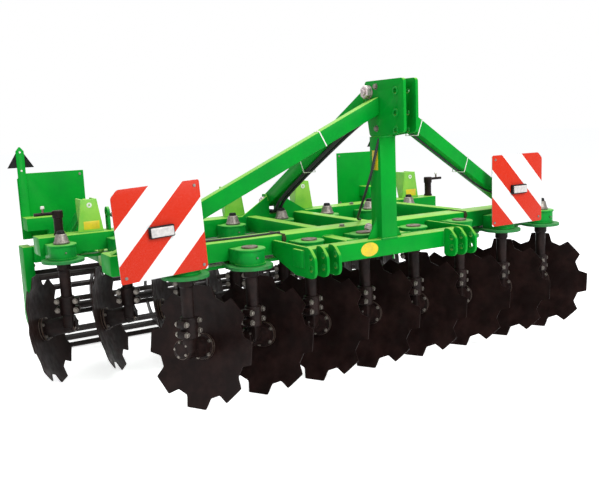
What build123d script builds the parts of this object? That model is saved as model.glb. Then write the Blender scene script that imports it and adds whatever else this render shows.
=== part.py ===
# Mounted disc harrow, three metres wide: two opposed rows of eight notched discs on
# swivelling legs, a three-point headstock with braces and a rear stay, and a cage roller.
# Millimetres. X runs across the machine, Y rearwards, Z up from the ground.
# Lengthwise places are measured from the front row of leg pivots; write() moves the whole
# machine so that the origin lies on the ground under the middle of its bounding box.
from build123d import *
from math import atan2, cos, degrees, hypot, pi, radians, sin, tan
import os

# ---- Rows of discs -------------------------------------------------------------------
PITCH = 350.0                 # between neighbouring leg pivots
LEGS_PER_ROW = 8
ROW_GAP = 900.0               # front pivots to rear pivots
DISC_ANGLE = 30.0             # disc plane to the direction of travel, as parked
DISC_ANGLE_LEAST = 10.0       # the other end of the angle setting
DISC_TILT = 10.0              # top of the disc leans away from its hub

# ---- Notched disc --------------------------------------------------------------------
DISC_RADIUS = 310.0
DISC_THICKNESS = 6.0
DISC_SIDES = 16               # flats of the dish, one for each tooth and one for each notch
DISC_TEETH = 8
DISH = (                      # inner face: apothem, depth
    (DISC_RADIUS, 0.0),
    (190.0, 30.5),
    (75.0, 45.0),
)
NOTCH_DEPTH = 48.0
NOTCH_MOUTH = 134.0
NOTCH_FLOOR = 60.0

# ---- Hub and leg ---------------------------------------------------------------------
HUB_RADIUS = 52.0
HUB_SIDES = 8                 # flats that stand for the round of posts, hubs and pins
HUB_FLANGE_RADIUS = 66.0
HUB_FLANGE_T = 26.0           # hub flange and the seat of the disc
HUB_TAIL = 154.0              # rim plane of the disc to the closed end of the hub
HUB_REACH = 118.0             # leg pivot to the rim plane of the disc
HUB_TRAIL = 36.0              # hub axis behind the leg pivot
POST_RADIUS = 31.0
ARM_WIDTH = 50.0
CLAMP_WIDTH = 84.0
CLAMP_DEPTH = 78.0
CLAMP_Z = (392.0, 492.0)
FLANGE_RADIUS = 115.0
FLANGE_T = 16.0
LEVER_RADIUS = 190.0          # leg pivot to link pin
LEVER_END = 30.0
LINK_PIN_RADIUS = 12.0
LINK_PIN_HEAD = 20.0
LINK_PIN_HEAD_T = 12.0
LINK_BAR_WIDTH = 60.0
LINK_BAR_T = 16.0
NUT_BASE, NUT_TOP, NUT_HEIGHT = 45.0, 30.0, 55.0
NUT_CAP, NUT_CAP_HEIGHT = 22.5, 18.0
WASHER_RADIUS, WASHER_T = 42.0, 8.0

# ---- Beams and bosses ----------------------------------------------------------------
BEAM_DEPTH = 150.0
BEAM_HEIGHT = 100.0
BEAM_TOP = 820.0
BEAM_LONG_LAP = 100.0         # outermost leg to the beam end on the side it throws to
BEAM_SHORT_LAP = 330.0        # and on the other side
BEAM_SETBACK = 88.0           # leg pivot to the front face of its beam
BOSS_TOP = 790.0
BOSS_DROP = 14.0              # boss below the underside of the beam
BOSS_RADIUS = 74.0
BOSS_SIDES = 12
BOSS_LIP = 6.0
BOSS_LIP_T = 12.0
RAIL_WIDTH = 70.0
RAIL_X = (PITCH / 2, 2.5 * PITCH + 40.0)
FRONT_RAIL_X = PITCH / 2

# ---- Headstock, mast, braces and stay ------------------------------------------------
HITCH_BEAM = 90.0             # square tube
HITCH_BEAM_FRONT = -235.0
HITCH_BEAM_TOP = 785.0
HITCH_MID = 1.5 * PITCH       # outer hitch plates stand between two legs
HITCH_BEAM_END = HITCH_MID + 15.0
HITCH_PLATE_X = tuple(HITCH_MID - inset for inset in (147.5, 77.5, 7.5))
HITCH_PLATE_T = 15.0
HITCH_PLATE_FRONT = -330.0
HITCH_PLATE_Z = (650.0, 800.0)
LOWER_BORE_RADIUS = 14.5
LOWER_BORE_Y = -297.0
LOWER_BORE_Z = (755.0, 697.0)
MAST_WIDTH = 100.0
MAST_TOP = 1310.0
MAST_GUSSET = (60.0, 110.0)
GUSSET_T = 12.0
CHEEK_X = 38.0
CHEEK_T = 16.0
CHEEK_FRONT = -425.0
CHEEK_REAR = -110.0
CHEEK_TOP = 1590.0
UPPER_BORE_RADIUS = 13.0
UPPER_BORE_Y = -362.0
UPPER_BORE_Z = (1530.0, 1424.0, 1340.0)
BRACE = 80.0                  # square tube
BRACE_HEAD = (0.0, -203.0, 1485.0)
BRACE_FOOT = (3.5 * PITCH + 50.0, 125.0, BEAM_TOP)
STAY = 80.0                   # square tube
STAY_HEAD = (-145.0, 1535.0)  # y, z of the upper pin
STAY_FOOT = (ROW_GAP + 136.0, 905.0)  # y, z of the lower pin
STAY_TUBE_START = 72.0        # upper pin to the end of the square tube
STAY_PIN_RADIUS = 16.0
STAY_PIN_HEAD = 27.0
FOOT_EAR_T = 12.0
FOOT_REACH = 240.0
FOOT_TOP = 948.0

# ---- Roller --------------------------------------------------------------------------
ROLLER_RADIUS = 270.0
ROLLER_AXLE_Y = ROW_GAP + 800.0
ROLLER_BARS = 8
ROLLER_BAR = 30.0
ROLLER_HALF = LEGS_PER_ROW * PITCH / 2
ROLLER_RING_X = ROLLER_HALF - 10.0
ROLLER_RINGS = 8
ROLLER_RING_T = 10.0
ROLLER_RING_BAND = 42.0
ROLLER_SPOKE = 34.0
ROLLER_SHAFT_RADIUS = 25.0
ROLLER_HUB_RADIUS = 60.0
SIDE_ARM_X = ROLLER_HALF + 40.0
SIDE_ARM_T = 60.0
SIDE_ARM_DEPTH = 140.0
SIDE_HUB_RADIUS = 85.0
CROSS_TUBE = 100.0
CROSS_TUBE_Y = ROLLER_AXLE_Y - 50.0
CROSS_TUBE_Z = 640.0
TRAIL_ARM_X = 1060.0
TRAIL_ARM_WIDTH = 80.0
TRAIL_ARM_HEIGHT = 70.0
TRAIL_PIVOT = (ROW_GAP + 290.0, 630.0)
TRAIL_PIN_RADIUS = 18.0
LUG_T = 12.0
TOWER_X = (-1190.0, -260.0, 260.0, 1190.0)
TOWER_BASE, TOWER_TIP = 150.0, 92.0
TOWER_TOP = 1010.0
TOWER_T = 10.0
TOWER_FRONT = ROW_GAP + 152.0
TOWER_DEPTH = 120.0           # at the top; the foot ends with the beam
TOWER_PIN = (ROW_GAP + 245.0, 975.0)  # y, z
TOWER_PIN_RADIUS = 12.0
LINK_EYE = (              # y, z of the depth link's pin on the cross tube
    CROSS_TUBE_Y - 25.0,
    CROSS_TUBE_Z + CROSS_TUBE / 2 + 50.0,
)
DEPTH_LINK_X = 1190.0
DEPTH_LINK_T = 20.0
DEPTH_LINK_WIDTH = 60.0
DEPTH_STROKE = 50.0           # the tower pin's travel along the link's slot
DEPTH_SLOT_PLAY = 4.0

# ---- Signs, boards and adjusters -----------------------------------------------------
SIGN = 423.0                  # square plates, front and rear
SIGN_T = 4.0
SIGN_CORNER = 34.0
FRONT_SIGN_Y = -88.0          # backs of the front signs, ahead of the bosses
SIGN_POST_X = 3.5 * PITCH
FRONT_SIGNS = (               # hand, x, z, turned round its bolt
    (-1, SIGN_POST_X - 35.0, 935.0, 3.0),
    (1, SIGN_POST_X - 135.0, 950.0, 0.0),
)
LAMP = (120.0, 30.0, 55.0)
SIGN_TUBE = 40.0
BOARD_X = 1227.0
BOARD_Y = CROSS_TUBE_Y + 110.0
BOARD_Z = 936.5
BOARD_ARM = 80.0
BOARD_ARM_Z = 830.0
BOARD_POST_X = 1270.0
BOARD_POST = 60.0
REFLECTOR_X = 1407.0
REFLECTOR_BASE, REFLECTOR_Z, REFLECTOR_TIP = 163.0, 1185.0, 1316.0
REFLECTOR_T = 8.0
REFLECTOR_BAR = 50.0
SCREW_X = 1370.0
SCREW_Y = ROW_GAP + 163.0
SCREW_RADIUS = 30.0
SCREW_TOP = 960.0
SCREW_BAR = 130.0
SPINDLE_Y = ROW_GAP + 175.0
SPINDLE_EYE_Z = 925.0
SPINDLE_EYE_RADIUS = 32.0
SPINDLE_ROD_RADIUS = 14.0
SPINDLE_X = (-1080.0, -960.0)
HOSE_RADIUS = 10.0
HOSE_SIDES = 6
HOSE_X = (-16.0, 16.0)

# ---- Clearances ----------------------------------------------------------------------
RUN_GAP = 0.5                 # faces that turn on one another
PIN_GAP = 0.6                 # round a pin or post in its bore
SEAT_GAP = 0.3                # faces that only rest together

# ---- Derived -------------------------------------------------------------------------
BEAM_BOTTOM = BEAM_TOP - BEAM_HEIGHT
BOSS_BOTTOM = BEAM_BOTTOM - BOSS_DROP
FLANGE_TOP = BOSS_BOTTOM - RUN_GAP
FLANGE_BOTTOM = FLANGE_TOP - FLANGE_T
LINK_BAR_TOP = FLANGE_BOTTOM - RUN_GAP
LINK_BAR_BOTTOM = LINK_BAR_TOP - LINK_BAR_T
DISC_AXIS_Z = DISC_RADIUS * cos(radians(DISC_TILT)) + DISC_THICKNESS * sin(radians(DISC_TILT))
MID_ANGLE = (DISC_ANGLE + DISC_ANGLE_LEAST) / 2
HALF_BAR_ANGLE = 180.0 / ROLLER_BARS
BAR_CORNER_ANGLE = degrees(atan2(ROLLER_BAR / 2, ROLLER_RADIUS))
ROLLER_AXLE_Z = hypot(ROLLER_RADIUS, ROLLER_BAR / 2) * cos(
    radians(HALF_BAR_ANGLE - BAR_CORNER_ANGLE)
)
FRONT_BEAM_Y = BEAM_SETBACK
REAR_BEAM_Y = ROW_GAP + BEAM_SETBACK
HITCH_BEAM_REAR = HITCH_BEAM_FRONT + HITCH_BEAM
FRONT_END = CHEEK_FRONT
REAR_END = ROLLER_AXLE_Y + hypot(ROLLER_RADIUS, ROLLER_BAR / 2) * cos(
    radians(HALF_BAR_ANGLE - BAR_CORNER_ANGLE)
)
ORIGIN_Y = (FRONT_END + REAR_END) / 2

# One row each: name, hand of its legs (1 throws to the right, -1 to the left), pivot line
ROWS = (
    ("front", 1, 0.0),
    ("rear", -1, ROW_GAP),
)


def pivots(hand):
    """X of a row's leg pivots, from left to right; the rows are a half pitch off centre."""
    first = -(LEGS_PER_ROW - 1) / 2 * PITCH + hand * PITCH / 2
    return [first + i * PITCH for i in range(LEGS_PER_ROW)]


# ---- Helpers -------------------------------------------------------------------------
def block(x, y, z):
    """A box between the given pairs of X, Y and Z."""
    size = Box(x[1] - x[0], y[1] - y[0], z[1] - z[0])
    return Pos(sum(x) / 2, sum(y) / 2, sum(z) / 2) * size


def plate_yz(outline, x, thickness):
    """A plate that stands lengthwise, its outline given in Y and Z."""
    face = Plane.YZ.offset(x - thickness / 2) * make_face(Polyline(outline, close=True))
    return extrude(face, thickness)


def plate_xz(outline, y, thickness):
    """A plate that stands crosswise with its front at y, its outline given in X and Z."""
    face = Plane.XZ.offset(-y) * make_face(Polyline(outline, close=True))
    return extrude(face, -thickness)


def pin_x(radius, x, y, z):
    """A round pin or hole along X."""
    return Pos(sum(x) / 2, y, z) * Rot(0, 90, 0) * Cylinder(radius, x[1] - x[0])


def flats(apothem, sides):
    """A regular outline with flats at the given apothem, one of them facing +X."""
    return RegularPolygon(apothem, sides, major_radius=False, rotation=180 / sides)


def polygon_prism(apothem, sides, low, high, taper=0.0):
    """A prism on +Z, or a tapered one, on a regular outline at its low end."""
    return extrude(Pos(0, 0, low) * flats(apothem, sides), high - low, taper=taper)


def shaft(radius, low, high):
    """A many-sided stand-in for a post or pin, with its corners on the radius."""
    outline = RegularPolygon(radius, HUB_SIDES)
    return extrude(Pos(0, 0, low) * outline, high - low)


def bore(radius, low, high):
    """The bore for such a shaft, with its flats at the radius."""
    return polygon_prism(radius, HUB_SIDES, low, high)


def lying(shape, y, z):
    """Turns a shape from +Z to +X, on a cross axis at the given y and z."""
    return Pos(0, y, z) * Rot(0, 90, 0) * shape


def both_sides(shape):
    return [shape, mirror(shape, Plane.YZ)]


def write(name, *shapes):
    """One STEP file for a node, moved to the machine's own origin."""
    solids = []
    for shape in shapes:
        solids.extend(shape.solids())
    placed = Pos(0, -ORIGIN_Y, 0) * Compound(children=solids)
    placed.label = name
    export_step(placed, f"parts/{name}.step")


# ---- Notched disc and its leg --------------------------------------------------------
# Both are made on the hub axis: +Z from the hub to the disc, +X down, rim plane at Z 0.
def frustum_stack(sections):
    """Tapered layers between many-sided outlines, from a table of apothem and height."""
    stack = Part()
    for (apothem, low), (next_apothem, high) in zip(sections, sections[1:]):
        taper = degrees(atan2(apothem - next_apothem, high - low))
        stack += polygon_prism(apothem, DISC_SIDES, low, high, taper)
    return stack


def notch():
    """The cutter for one notch, between two teeth; it opens past the rim."""
    floor = DISC_RADIUS - NOTCH_DEPTH
    mouth = DISC_RADIUS + NOTCH_DEPTH / 2
    slope = (NOTCH_MOUTH - NOTCH_FLOOR) / 2 / NOTCH_DEPTH
    half = NOTCH_FLOOR / 2 + slope * (mouth - floor)
    outline = Polyline(
        (floor, -NOTCH_FLOOR / 2),
        (mouth, -half),
        (mouth, half),
        (floor, NOTCH_FLOOR / 2),
        close=True,
    )
    depth = DISH[-1][1] + DISC_THICKNESS
    return Pos(0, 0, -depth / 2) * extrude(make_face(outline), 2 * depth)


def dished_disc():
    """A dish of even thickness, hollow towards the hub, with notches round its rim."""
    lift = DISC_THICKNESS
    outer = frustum_stack([(apothem, depth + lift) for apothem, depth in DISH])
    rim = polygon_prism(DISH[0][0], DISC_SIDES, 0, lift)
    slope = (DISH[0][0] - DISH[1][0]) / (DISH[1][1] - DISH[0][1])
    entry = (DISH[0][0] + slope * lift / 2, DISH[0][1] - lift / 2)
    inner = frustum_stack([entry, *DISH[1:]])
    disc = rim + outer - inner
    for tooth in range(DISC_TEETH):
        disc -= Rot(0, 0, (tooth + 0.5) * 360 / DISC_TEETH) * notch()
    return disc


def on_hub_axis(shape):
    """From the hub axis to the leg: X towards the disc, Y rearwards, pivot at the origin."""
    return Pos(HUB_REACH, HUB_TRAIL, DISC_AXIS_Z) * Rot(0, 90 + DISC_TILT, 0) * shape


def lever_plate():
    """Thrust flange under the boss, drawn out to the link pin."""
    flange = flats(FLANGE_RADIUS, BOSS_SIDES)
    end = Pos(0, LEVER_RADIUS) * flats(LEVER_END, HUB_SIDES)
    outline = make_hull([*flange.edges(), *end.edges()])
    return Pos(0, 0, FLANGE_BOTTOM) * extrude(outline, FLANGE_T)


def crown(kind):
    """What holds the post in its boss from above: a tapered nut, or a plain washer."""
    base = BOSS_TOP + RUN_GAP
    if kind == "washer":
        return polygon_prism(WASHER_RADIUS, HUB_SIDES, base, base + WASHER_T)
    top = base + NUT_HEIGHT
    taper = degrees(atan2(NUT_BASE - NUT_TOP, NUT_HEIGHT))
    nut = polygon_prism(NUT_BASE, HUB_SIDES, base, top, taper)
    return nut + polygon_prism(NUT_CAP, HUB_SIDES, top, top + NUT_CAP_HEIGHT)


def leg(kind):
    """Post in the boss, clamp, cranked foot and hub, with the lever that turns it."""
    post = shaft(POST_RADIUS, CLAMP_Z[1], BOSS_TOP + RUN_GAP)
    clamp = block(
        (-CLAMP_WIDTH / 2, CLAMP_WIDTH / 2), (-CLAMP_DEPTH / 2, CLAMP_DEPTH / 2), CLAMP_Z
    )
    half = ARM_WIDTH / 2
    foot = block((-half, half), (-half, half), (DISC_AXIS_Z + half, CLAMP_Z[0]))
    hub_face = DISH[-1][1] - RUN_GAP
    hub = polygon_prism(HUB_RADIUS, HUB_SIDES, -HUB_TAIL, hub_face)
    hub += polygon_prism(
        HUB_FLANGE_RADIUS, HUB_SIDES, hub_face - HUB_FLANGE_T, hub_face
    )
    pin_foot = LINK_BAR_BOTTOM - RUN_GAP
    pin = shaft(LINK_PIN_RADIUS, pin_foot, FLANGE_BOTTOM)
    head = polygon_prism(LINK_PIN_HEAD, 6, pin_foot - LINK_PIN_HEAD_T, pin_foot)
    lever = lever_plate() + Pos(0, LEVER_RADIUS, 0) * (pin + head)
    leg_parts = post + clamp + foot + on_hub_axis(hub)
    return leg_parts + Rot(0, 0, -MID_ANGLE) * lever + crown(kind)


def at_pivot(shape, hand, x, y):
    """A leg or disc turned to its working angle, thrown left or right, and placed."""
    turned = Rot(0, 0, DISC_ANGLE) * shape
    if hand < 0:
        turned = mirror(turned, Plane.YZ)
    return Pos(x, y, 0) * turned


def link_pin_offset(hand):
    """From a leg pivot to its link pin, as parked."""
    angle = radians(DISC_ANGLE - MID_ANGLE)
    return -hand * LEVER_RADIUS * sin(angle), LEVER_RADIUS * cos(angle)


def link_bar(hand, y):
    """Flat bar that joins the levers of a row."""
    dx, dy = link_pin_offset(hand)
    places = [x + dx for x in pivots(hand)]
    half = LINK_BAR_WIDTH / 2
    bar = block(
        (places[0] - half, places[-1] + half),
        (y + dy - half, y + dy + half),
        (LINK_BAR_BOTTOM, LINK_BAR_TOP),
    )
    for x in places:
        hole = bore(LINK_PIN_RADIUS + PIN_GAP, LINK_BAR_BOTTOM, LINK_BAR_TOP)
        bar -= Pos(x, y + dy, 0) * hole
    return bar


# ---- Beams and bosses ----------------------------------------------------------------
def beam(hand, y):
    """A row's cross beam; it runs further out on the side that its discs are thrown to."""
    places = [hand * x for x in pivots(hand)]
    far, near = max(places) + BEAM_LONG_LAP, min(places) - BEAM_SHORT_LAP
    ends = sorted((hand * far, hand * near))
    return block(ends, (y, y + BEAM_DEPTH), (BEAM_BOTTOM, BEAM_TOP))


def boss():
    """Bearing boss of a leg: round in front, flat where it meets the beam, with a lip."""
    face = BEAM_SETBACK
    outline = flats(BOSS_RADIUS, BOSS_SIDES)
    outline += Pos(0, face / 2) * Rectangle(2 * BOSS_RADIUS, face)
    body = extrude(Pos(0, 0, BOSS_BOTTOM) * outline, BOSS_TOP - BOSS_BOTTOM)
    lip_base = BOSS_TOP - BOSS_LIP_T
    body += polygon_prism(BOSS_RADIUS + BOSS_LIP, BOSS_SIDES, lip_base, BOSS_TOP)
    return body - bore(POST_RADIUS + PIN_GAP, BOSS_BOTTOM, BOSS_TOP)


def rails():
    """Lengthwise tubes between the beams, and from the headstock to the front beam."""
    half = RAIL_WIDTH / 2
    height = (BEAM_BOTTOM, BEAM_TOP)
    span = (FRONT_BEAM_Y + BEAM_DEPTH, REAR_BEAM_Y)
    lengthwise = [block((x - half, x + half), span, height) for x in RAIL_X]
    front_height = (max(BEAM_BOTTOM, HITCH_BEAM_TOP - HITCH_BEAM), HITCH_BEAM_TOP)
    front_span = (HITCH_BEAM_REAR, FRONT_BEAM_Y)
    x = FRONT_RAIL_X
    lengthwise.append(block((x - half, x + half), front_span, front_height))
    return [side for rail in lengthwise for side in both_sides(rail)]


# ---- Headstock, mast, braces and stay ------------------------------------------------
def headstock_beam():
    return block(
        (-HITCH_BEAM_END, HITCH_BEAM_END),
        (HITCH_BEAM_FRONT, HITCH_BEAM_REAR),
        (HITCH_BEAM_TOP - HITCH_BEAM, HITCH_BEAM_TOP),
    )


def hitch_plate(x):
    """Lower-link plate; the outermost reaches back round the headstock beam."""
    low, high = HITCH_PLATE_Z
    front = HITCH_PLATE_FRONT
    rear = FRONT_BEAM_Y if x == max(HITCH_PLATE_X) else HITCH_BEAM_FRONT
    rear_low = BEAM_BOTTOM if x == max(HITCH_PLATE_X) else low
    corner = (HITCH_BEAM_FRONT - front) / 2
    outline = [
        (front, low + corner / 2),
        (front, high - corner),
        (front + corner, high),
        (rear, high),
        (rear, rear_low),
        (min(rear, HITCH_BEAM_REAR), low),
        (front + corner / 2, low),
    ]
    if x != max(HITCH_PLATE_X):
        outline.remove((rear, rear_low))
    plate = plate_yz(outline, x, HITCH_PLATE_T)
    for z in LOWER_BORE_Z:
        reach = (x - HITCH_PLATE_T, x + HITCH_PLATE_T)
        plate -= pin_x(LOWER_BORE_RADIUS, reach, LOWER_BORE_Y, z)
    return plate - headstock_beam()


def mast_post():
    """Upright tube on the headstock beam, flared by a gusset on either side."""
    half = MAST_WIDTH / 2
    span = (HITCH_BEAM_FRONT, HITCH_BEAM_REAR)
    post = block((-half, half), span, (HITCH_BEAM_TOP, MAST_TOP))
    reach, rise = MAST_GUSSET
    outline = [
        (half, HITCH_BEAM_TOP),
        (half + reach, HITCH_BEAM_TOP),
        (half, HITCH_BEAM_TOP + rise),
    ]
    gusset = plate_xz(outline, sum(span) / 2 - GUSSET_T / 2, GUSSET_T)
    for side in both_sides(gusset):
        post += side
    return post


def mast_head():
    """Two cheeks for the top link and the stay, on a core that stands on the post."""
    front = [
        (HITCH_BEAM_REAR, MAST_TOP),
        (HITCH_BEAM_FRONT, MAST_TOP),
        (CHEEK_FRONT, MAST_TOP + 20),
        (CHEEK_FRONT, CHEEK_TOP),
    ]
    rear = [
        (CHEEK_REAR, CHEEK_TOP),
        (CHEEK_REAR, STAY_HEAD[1] - 2 * STAY_PIN_HEAD),
    ]
    cheek = plate_yz(front + rear, CHEEK_X, CHEEK_T)
    for z in UPPER_BORE_Z:
        cheek -= pin_x(UPPER_BORE_RADIUS, (0, 2 * CHEEK_X), UPPER_BORE_Y, z)
    cheek -= lying(bore(STAY_PIN_RADIUS, 0, 2 * CHEEK_X), *STAY_HEAD)
    gap = CHEEK_X - CHEEK_T / 2
    core_rear = STAY_HEAD[0] - STAY / 2 - RUN_GAP
    core = block((-gap, gap), (HITCH_BEAM_FRONT, core_rear), (MAST_TOP, CHEEK_TOP))
    head = core
    for side in both_sides(cheek):
        head += side
    return head


def side_brace():
    """Right-hand brace from the mast head down to the front beam, cut to fit both."""
    head, foot = Vector(*BRACE_HEAD), Vector(*BRACE_FOOT)
    run = foot - head
    level = Vector(-run.Y, run.X, 0)
    frame = Plane(origin=(head + foot) / 2, x_dir=run, z_dir=level)
    tube = frame * Box(run.length * 1.3, BRACE, BRACE)
    room = block(
        (CHEEK_X + CHEEK_T / 2, 2 * BRACE_FOOT[0]),
        (CHEEK_FRONT, FRONT_BEAM_Y + 2 * BEAM_DEPTH),
        (BEAM_TOP, CHEEK_TOP),
    )
    return tube & room


def rear_stay():
    """Square tube from the mast head to the rear beam, with a tongue and a round end."""
    (head_y, head_z), (foot_y, foot_z) = STAY_HEAD, STAY_FOOT
    run = Vector(0, foot_y - head_y, foot_z - head_z)
    frame = Plane(origin=(0, head_y, head_z), x_dir=run, z_dir=(1, 0, 0))
    length = run.length - STAY_TUBE_START
    middle = STAY_TUBE_START + length / 2
    tube = frame * Pos(middle, 0, 0) * Box(length, STAY, STAY)
    tongue_width = 2 * (CHEEK_X - CHEEK_T / 2 - SEAT_GAP)
    tongue = frame * Pos(middle / 2, 0, 0) * Box(middle, STAY - 10, tongue_width)
    half = tongue_width / 2
    nose = polygon_prism((STAY - 10) / 2, BOSS_SIDES, -half, half)
    toe = polygon_prism(STAY / 2, BOSS_SIDES, -STAY / 2, STAY / 2)
    stay = tube + tongue + lying(nose, *STAY_HEAD) + lying(toe, *STAY_FOOT)
    hole = bore(STAY_PIN_RADIUS, -STAY, STAY)
    return stay - lying(hole, *STAY_HEAD) - lying(hole, *STAY_FOOT)


def stay_foot():
    """Ears for the stay's lower pin, with a gusset along the beam on either side."""
    inner = STAY / 2 + SEAT_GAP
    y, z = STAY_FOOT
    front = REAR_BEAM_Y
    outline = [
        (front, BEAM_TOP),
        (front, z),
        (y - STAY / 4, FOOT_TOP),
        (y + STAY / 4, FOOT_TOP),
        (y + STAY / 2, z),
        (y + STAY / 2, BEAM_TOP),
    ]
    ear = plate_yz(outline, inner + FOOT_EAR_T / 2, FOOT_EAR_T)
    ear -= lying(bore(STAY_PIN_RADIUS, 0, STAY), y, z)
    wing = [
        (inner + FOOT_EAR_T, BEAM_TOP),
        (FOOT_REACH, BEAM_TOP),
        (inner + FOOT_EAR_T, FOOT_TOP - 10),
    ]
    return ear + plate_xz(wing, front, GUSSET_T)


def rear_beam():
    body = beam(-1, REAR_BEAM_Y)
    for side in both_sides(stay_foot()):
        body += side
    return body


def frame_pins():
    """The pins of the stay, each with a hexagon head and nut."""
    reach_head = CHEEK_X + CHEEK_T / 2
    reach_foot = STAY / 2 + SEAT_GAP + FOOT_EAR_T
    pins = []
    for (y, z), reach in ((STAY_HEAD, reach_head), (STAY_FOOT, reach_foot)):
        shank = lying(shaft(STAY_PIN_RADIUS - SEAT_GAP, -reach, reach), y, z)
        head = polygon_prism(STAY_PIN_HEAD, 6, reach, reach + STAY_PIN_RADIUS * 1.5)
        for end in both_sides(lying(head, y, z)):
            shank += end
        pins.append(shank)
    return pins


# ---- Roller --------------------------------------------------------------------------
def about_axle(shape):
    """From +Z along the axle to its place under the roller frame."""
    return Pos(0, ROLLER_AXLE_Y, ROLLER_AXLE_Z) * Rot(0, 90, 0) * shape


def bar_places():
    return [Rot(0, 0, (i + 0.5) * 360 / ROLLER_BARS) for i in range(ROLLER_BARS)]


def roller_bar_stock():
    middle = ROLLER_RADIUS - ROLLER_BAR / 2
    return Pos(middle, 0, 0) * Box(ROLLER_BAR, ROLLER_BAR, 2 * ROLLER_HALF)


def roller_bars():
    """Square bars round the cage, each on a flat of every ring."""
    return [about_axle(place * roller_bar_stock()) for place in bar_places()]


def roller_ring():
    """Spoked ring with a flat for each bar and one between."""
    sides = 2 * ROLLER_BARS
    outer = ROLLER_RADIUS - ROLLER_BAR
    ring = polygon_prism(outer, sides, 0, ROLLER_RING_T)
    ring -= polygon_prism(outer - ROLLER_RING_BAND, sides, 0, ROLLER_RING_T)
    reach = outer - ROLLER_RING_BAND / 2
    for quarter in (0, 90):
        spoke = Pos(0, 0, ROLLER_RING_T / 2) * Box(2 * reach, ROLLER_SPOKE, ROLLER_RING_T)
        ring += Rot(0, 0, quarter) * spoke
    ring += polygon_prism(ROLLER_HUB_RADIUS, HUB_SIDES, 0, ROLLER_RING_T)
    return ring - bore(ROLLER_SHAFT_RADIUS + SEAT_GAP, 0, ROLLER_RING_T)


def roller_core():
    """The rings of the cage and the shaft through them, which runs in the side arms."""
    parts = [about_axle(shaft(ROLLER_SHAFT_RADIUS, -SIDE_ARM_X, SIDE_ARM_X))]
    step = 2 * ROLLER_RING_X / (ROLLER_RINGS - 1)
    for i in range(ROLLER_RINGS):
        place = -ROLLER_RING_X + i * step - ROLLER_RING_T / 2
        parts.append(about_axle(Pos(0, 0, place) * roller_ring()))
    return parts


def side_arm():
    """Right-hand side arm: a tall tube that widens to the bearing of the roller."""
    half = SIDE_ARM_DEPTH / 2
    x = (SIDE_ARM_X - SIDE_ARM_T / 2, SIDE_ARM_X + SIDE_ARM_T / 2)
    y = (ROLLER_AXLE_Y - half, ROLLER_AXLE_Y + half)
    top = CROSS_TUBE_Z + CROSS_TUBE / 2
    arm = block(x, y, (ROLLER_AXLE_Z, top))
    arm += about_axle(polygon_prism(SIDE_HUB_RADIUS, DISC_SIDES, *x))
    seat = bore(ROLLER_SHAFT_RADIUS + PIN_GAP, x[0], SIDE_ARM_X + PIN_GAP)
    return arm - about_axle(seat)


def cross_tube():
    """Tube between the side arms, with an eye bracket for each depth link."""
    half = CROSS_TUBE / 2
    end = SIDE_ARM_X - SIDE_ARM_T / 2
    y = (CROSS_TUBE_Y - half, CROSS_TUBE_Y + half)
    top = CROSS_TUBE_Z + half
    tube = block((-end, end), y, (CROSS_TUBE_Z - half, top))
    eye_y, eye_z = LINK_EYE
    reach = DEPTH_LINK_WIDTH / 2
    outline = [
        (eye_y - reach, top),
        (eye_y + reach, top),
        (eye_y + reach, eye_z),
        (eye_y, eye_z + reach),
        (eye_y - reach, eye_z),
    ]
    inner = DEPTH_LINK_T / 2 + RUN_GAP
    for offset in (-inner - LUG_T / 2, inner + LUG_T / 2):
        ear = plate_yz(outline, DEPTH_LINK_X + offset, LUG_T)
        for side in both_sides(ear):
            tube += side
    reach = inner + LUG_T
    pin = shaft(TOWER_PIN_RADIUS, DEPTH_LINK_X - reach, DEPTH_LINK_X + reach)
    for side in both_sides(lying(pin, eye_y, eye_z)):
        tube += side
    return tube


def trail_arm():
    """Right-hand arm from the pivot behind the rear beam to the cross tube."""
    y, z = TRAIL_PIVOT
    half_x, half_z = TRAIL_ARM_WIDTH / 2, TRAIL_ARM_HEIGHT / 2
    x = (TRAIL_ARM_X - half_x, TRAIL_ARM_X + half_x)
    arm = block(x, (y, CROSS_TUBE_Y - CROSS_TUBE / 2), (z - half_z, z + half_z))
    arm += lying(polygon_prism(half_z, HUB_SIDES, *x), y, z)
    return arm - lying(bore(TRAIL_PIN_RADIUS + PIN_GAP, *x), y, z)


def trail_lug():
    """Two ears on the back of the rear beam, with the pivot pin of a trailing arm."""
    y, z = TRAIL_PIVOT
    face = REAR_BEAM_Y + BEAM_DEPTH
    reach = TRAIL_ARM_HEIGHT / 2 + 8
    outline = [
        (face, BEAM_TOP - 15),
        (face, z + 4),
        (y - reach / 2, z - reach),
        (y + reach / 2, z - reach),
        (y + reach, z - reach / 2),
        (y + reach, z + reach),
        (face + 30, BEAM_TOP - 15),
    ]
    inner = TRAIL_ARM_WIDTH / 2 + RUN_GAP
    ends = (TRAIL_ARM_X - inner - LUG_T, TRAIL_ARM_X + inner + LUG_T)
    lug = lying(shaft(TRAIL_PIN_RADIUS, *ends), y, z)
    for offset in (-inner - LUG_T / 2, inner + LUG_T / 2):
        lug += plate_yz(outline, TRAIL_ARM_X + offset, LUG_T)
    return lug


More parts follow.
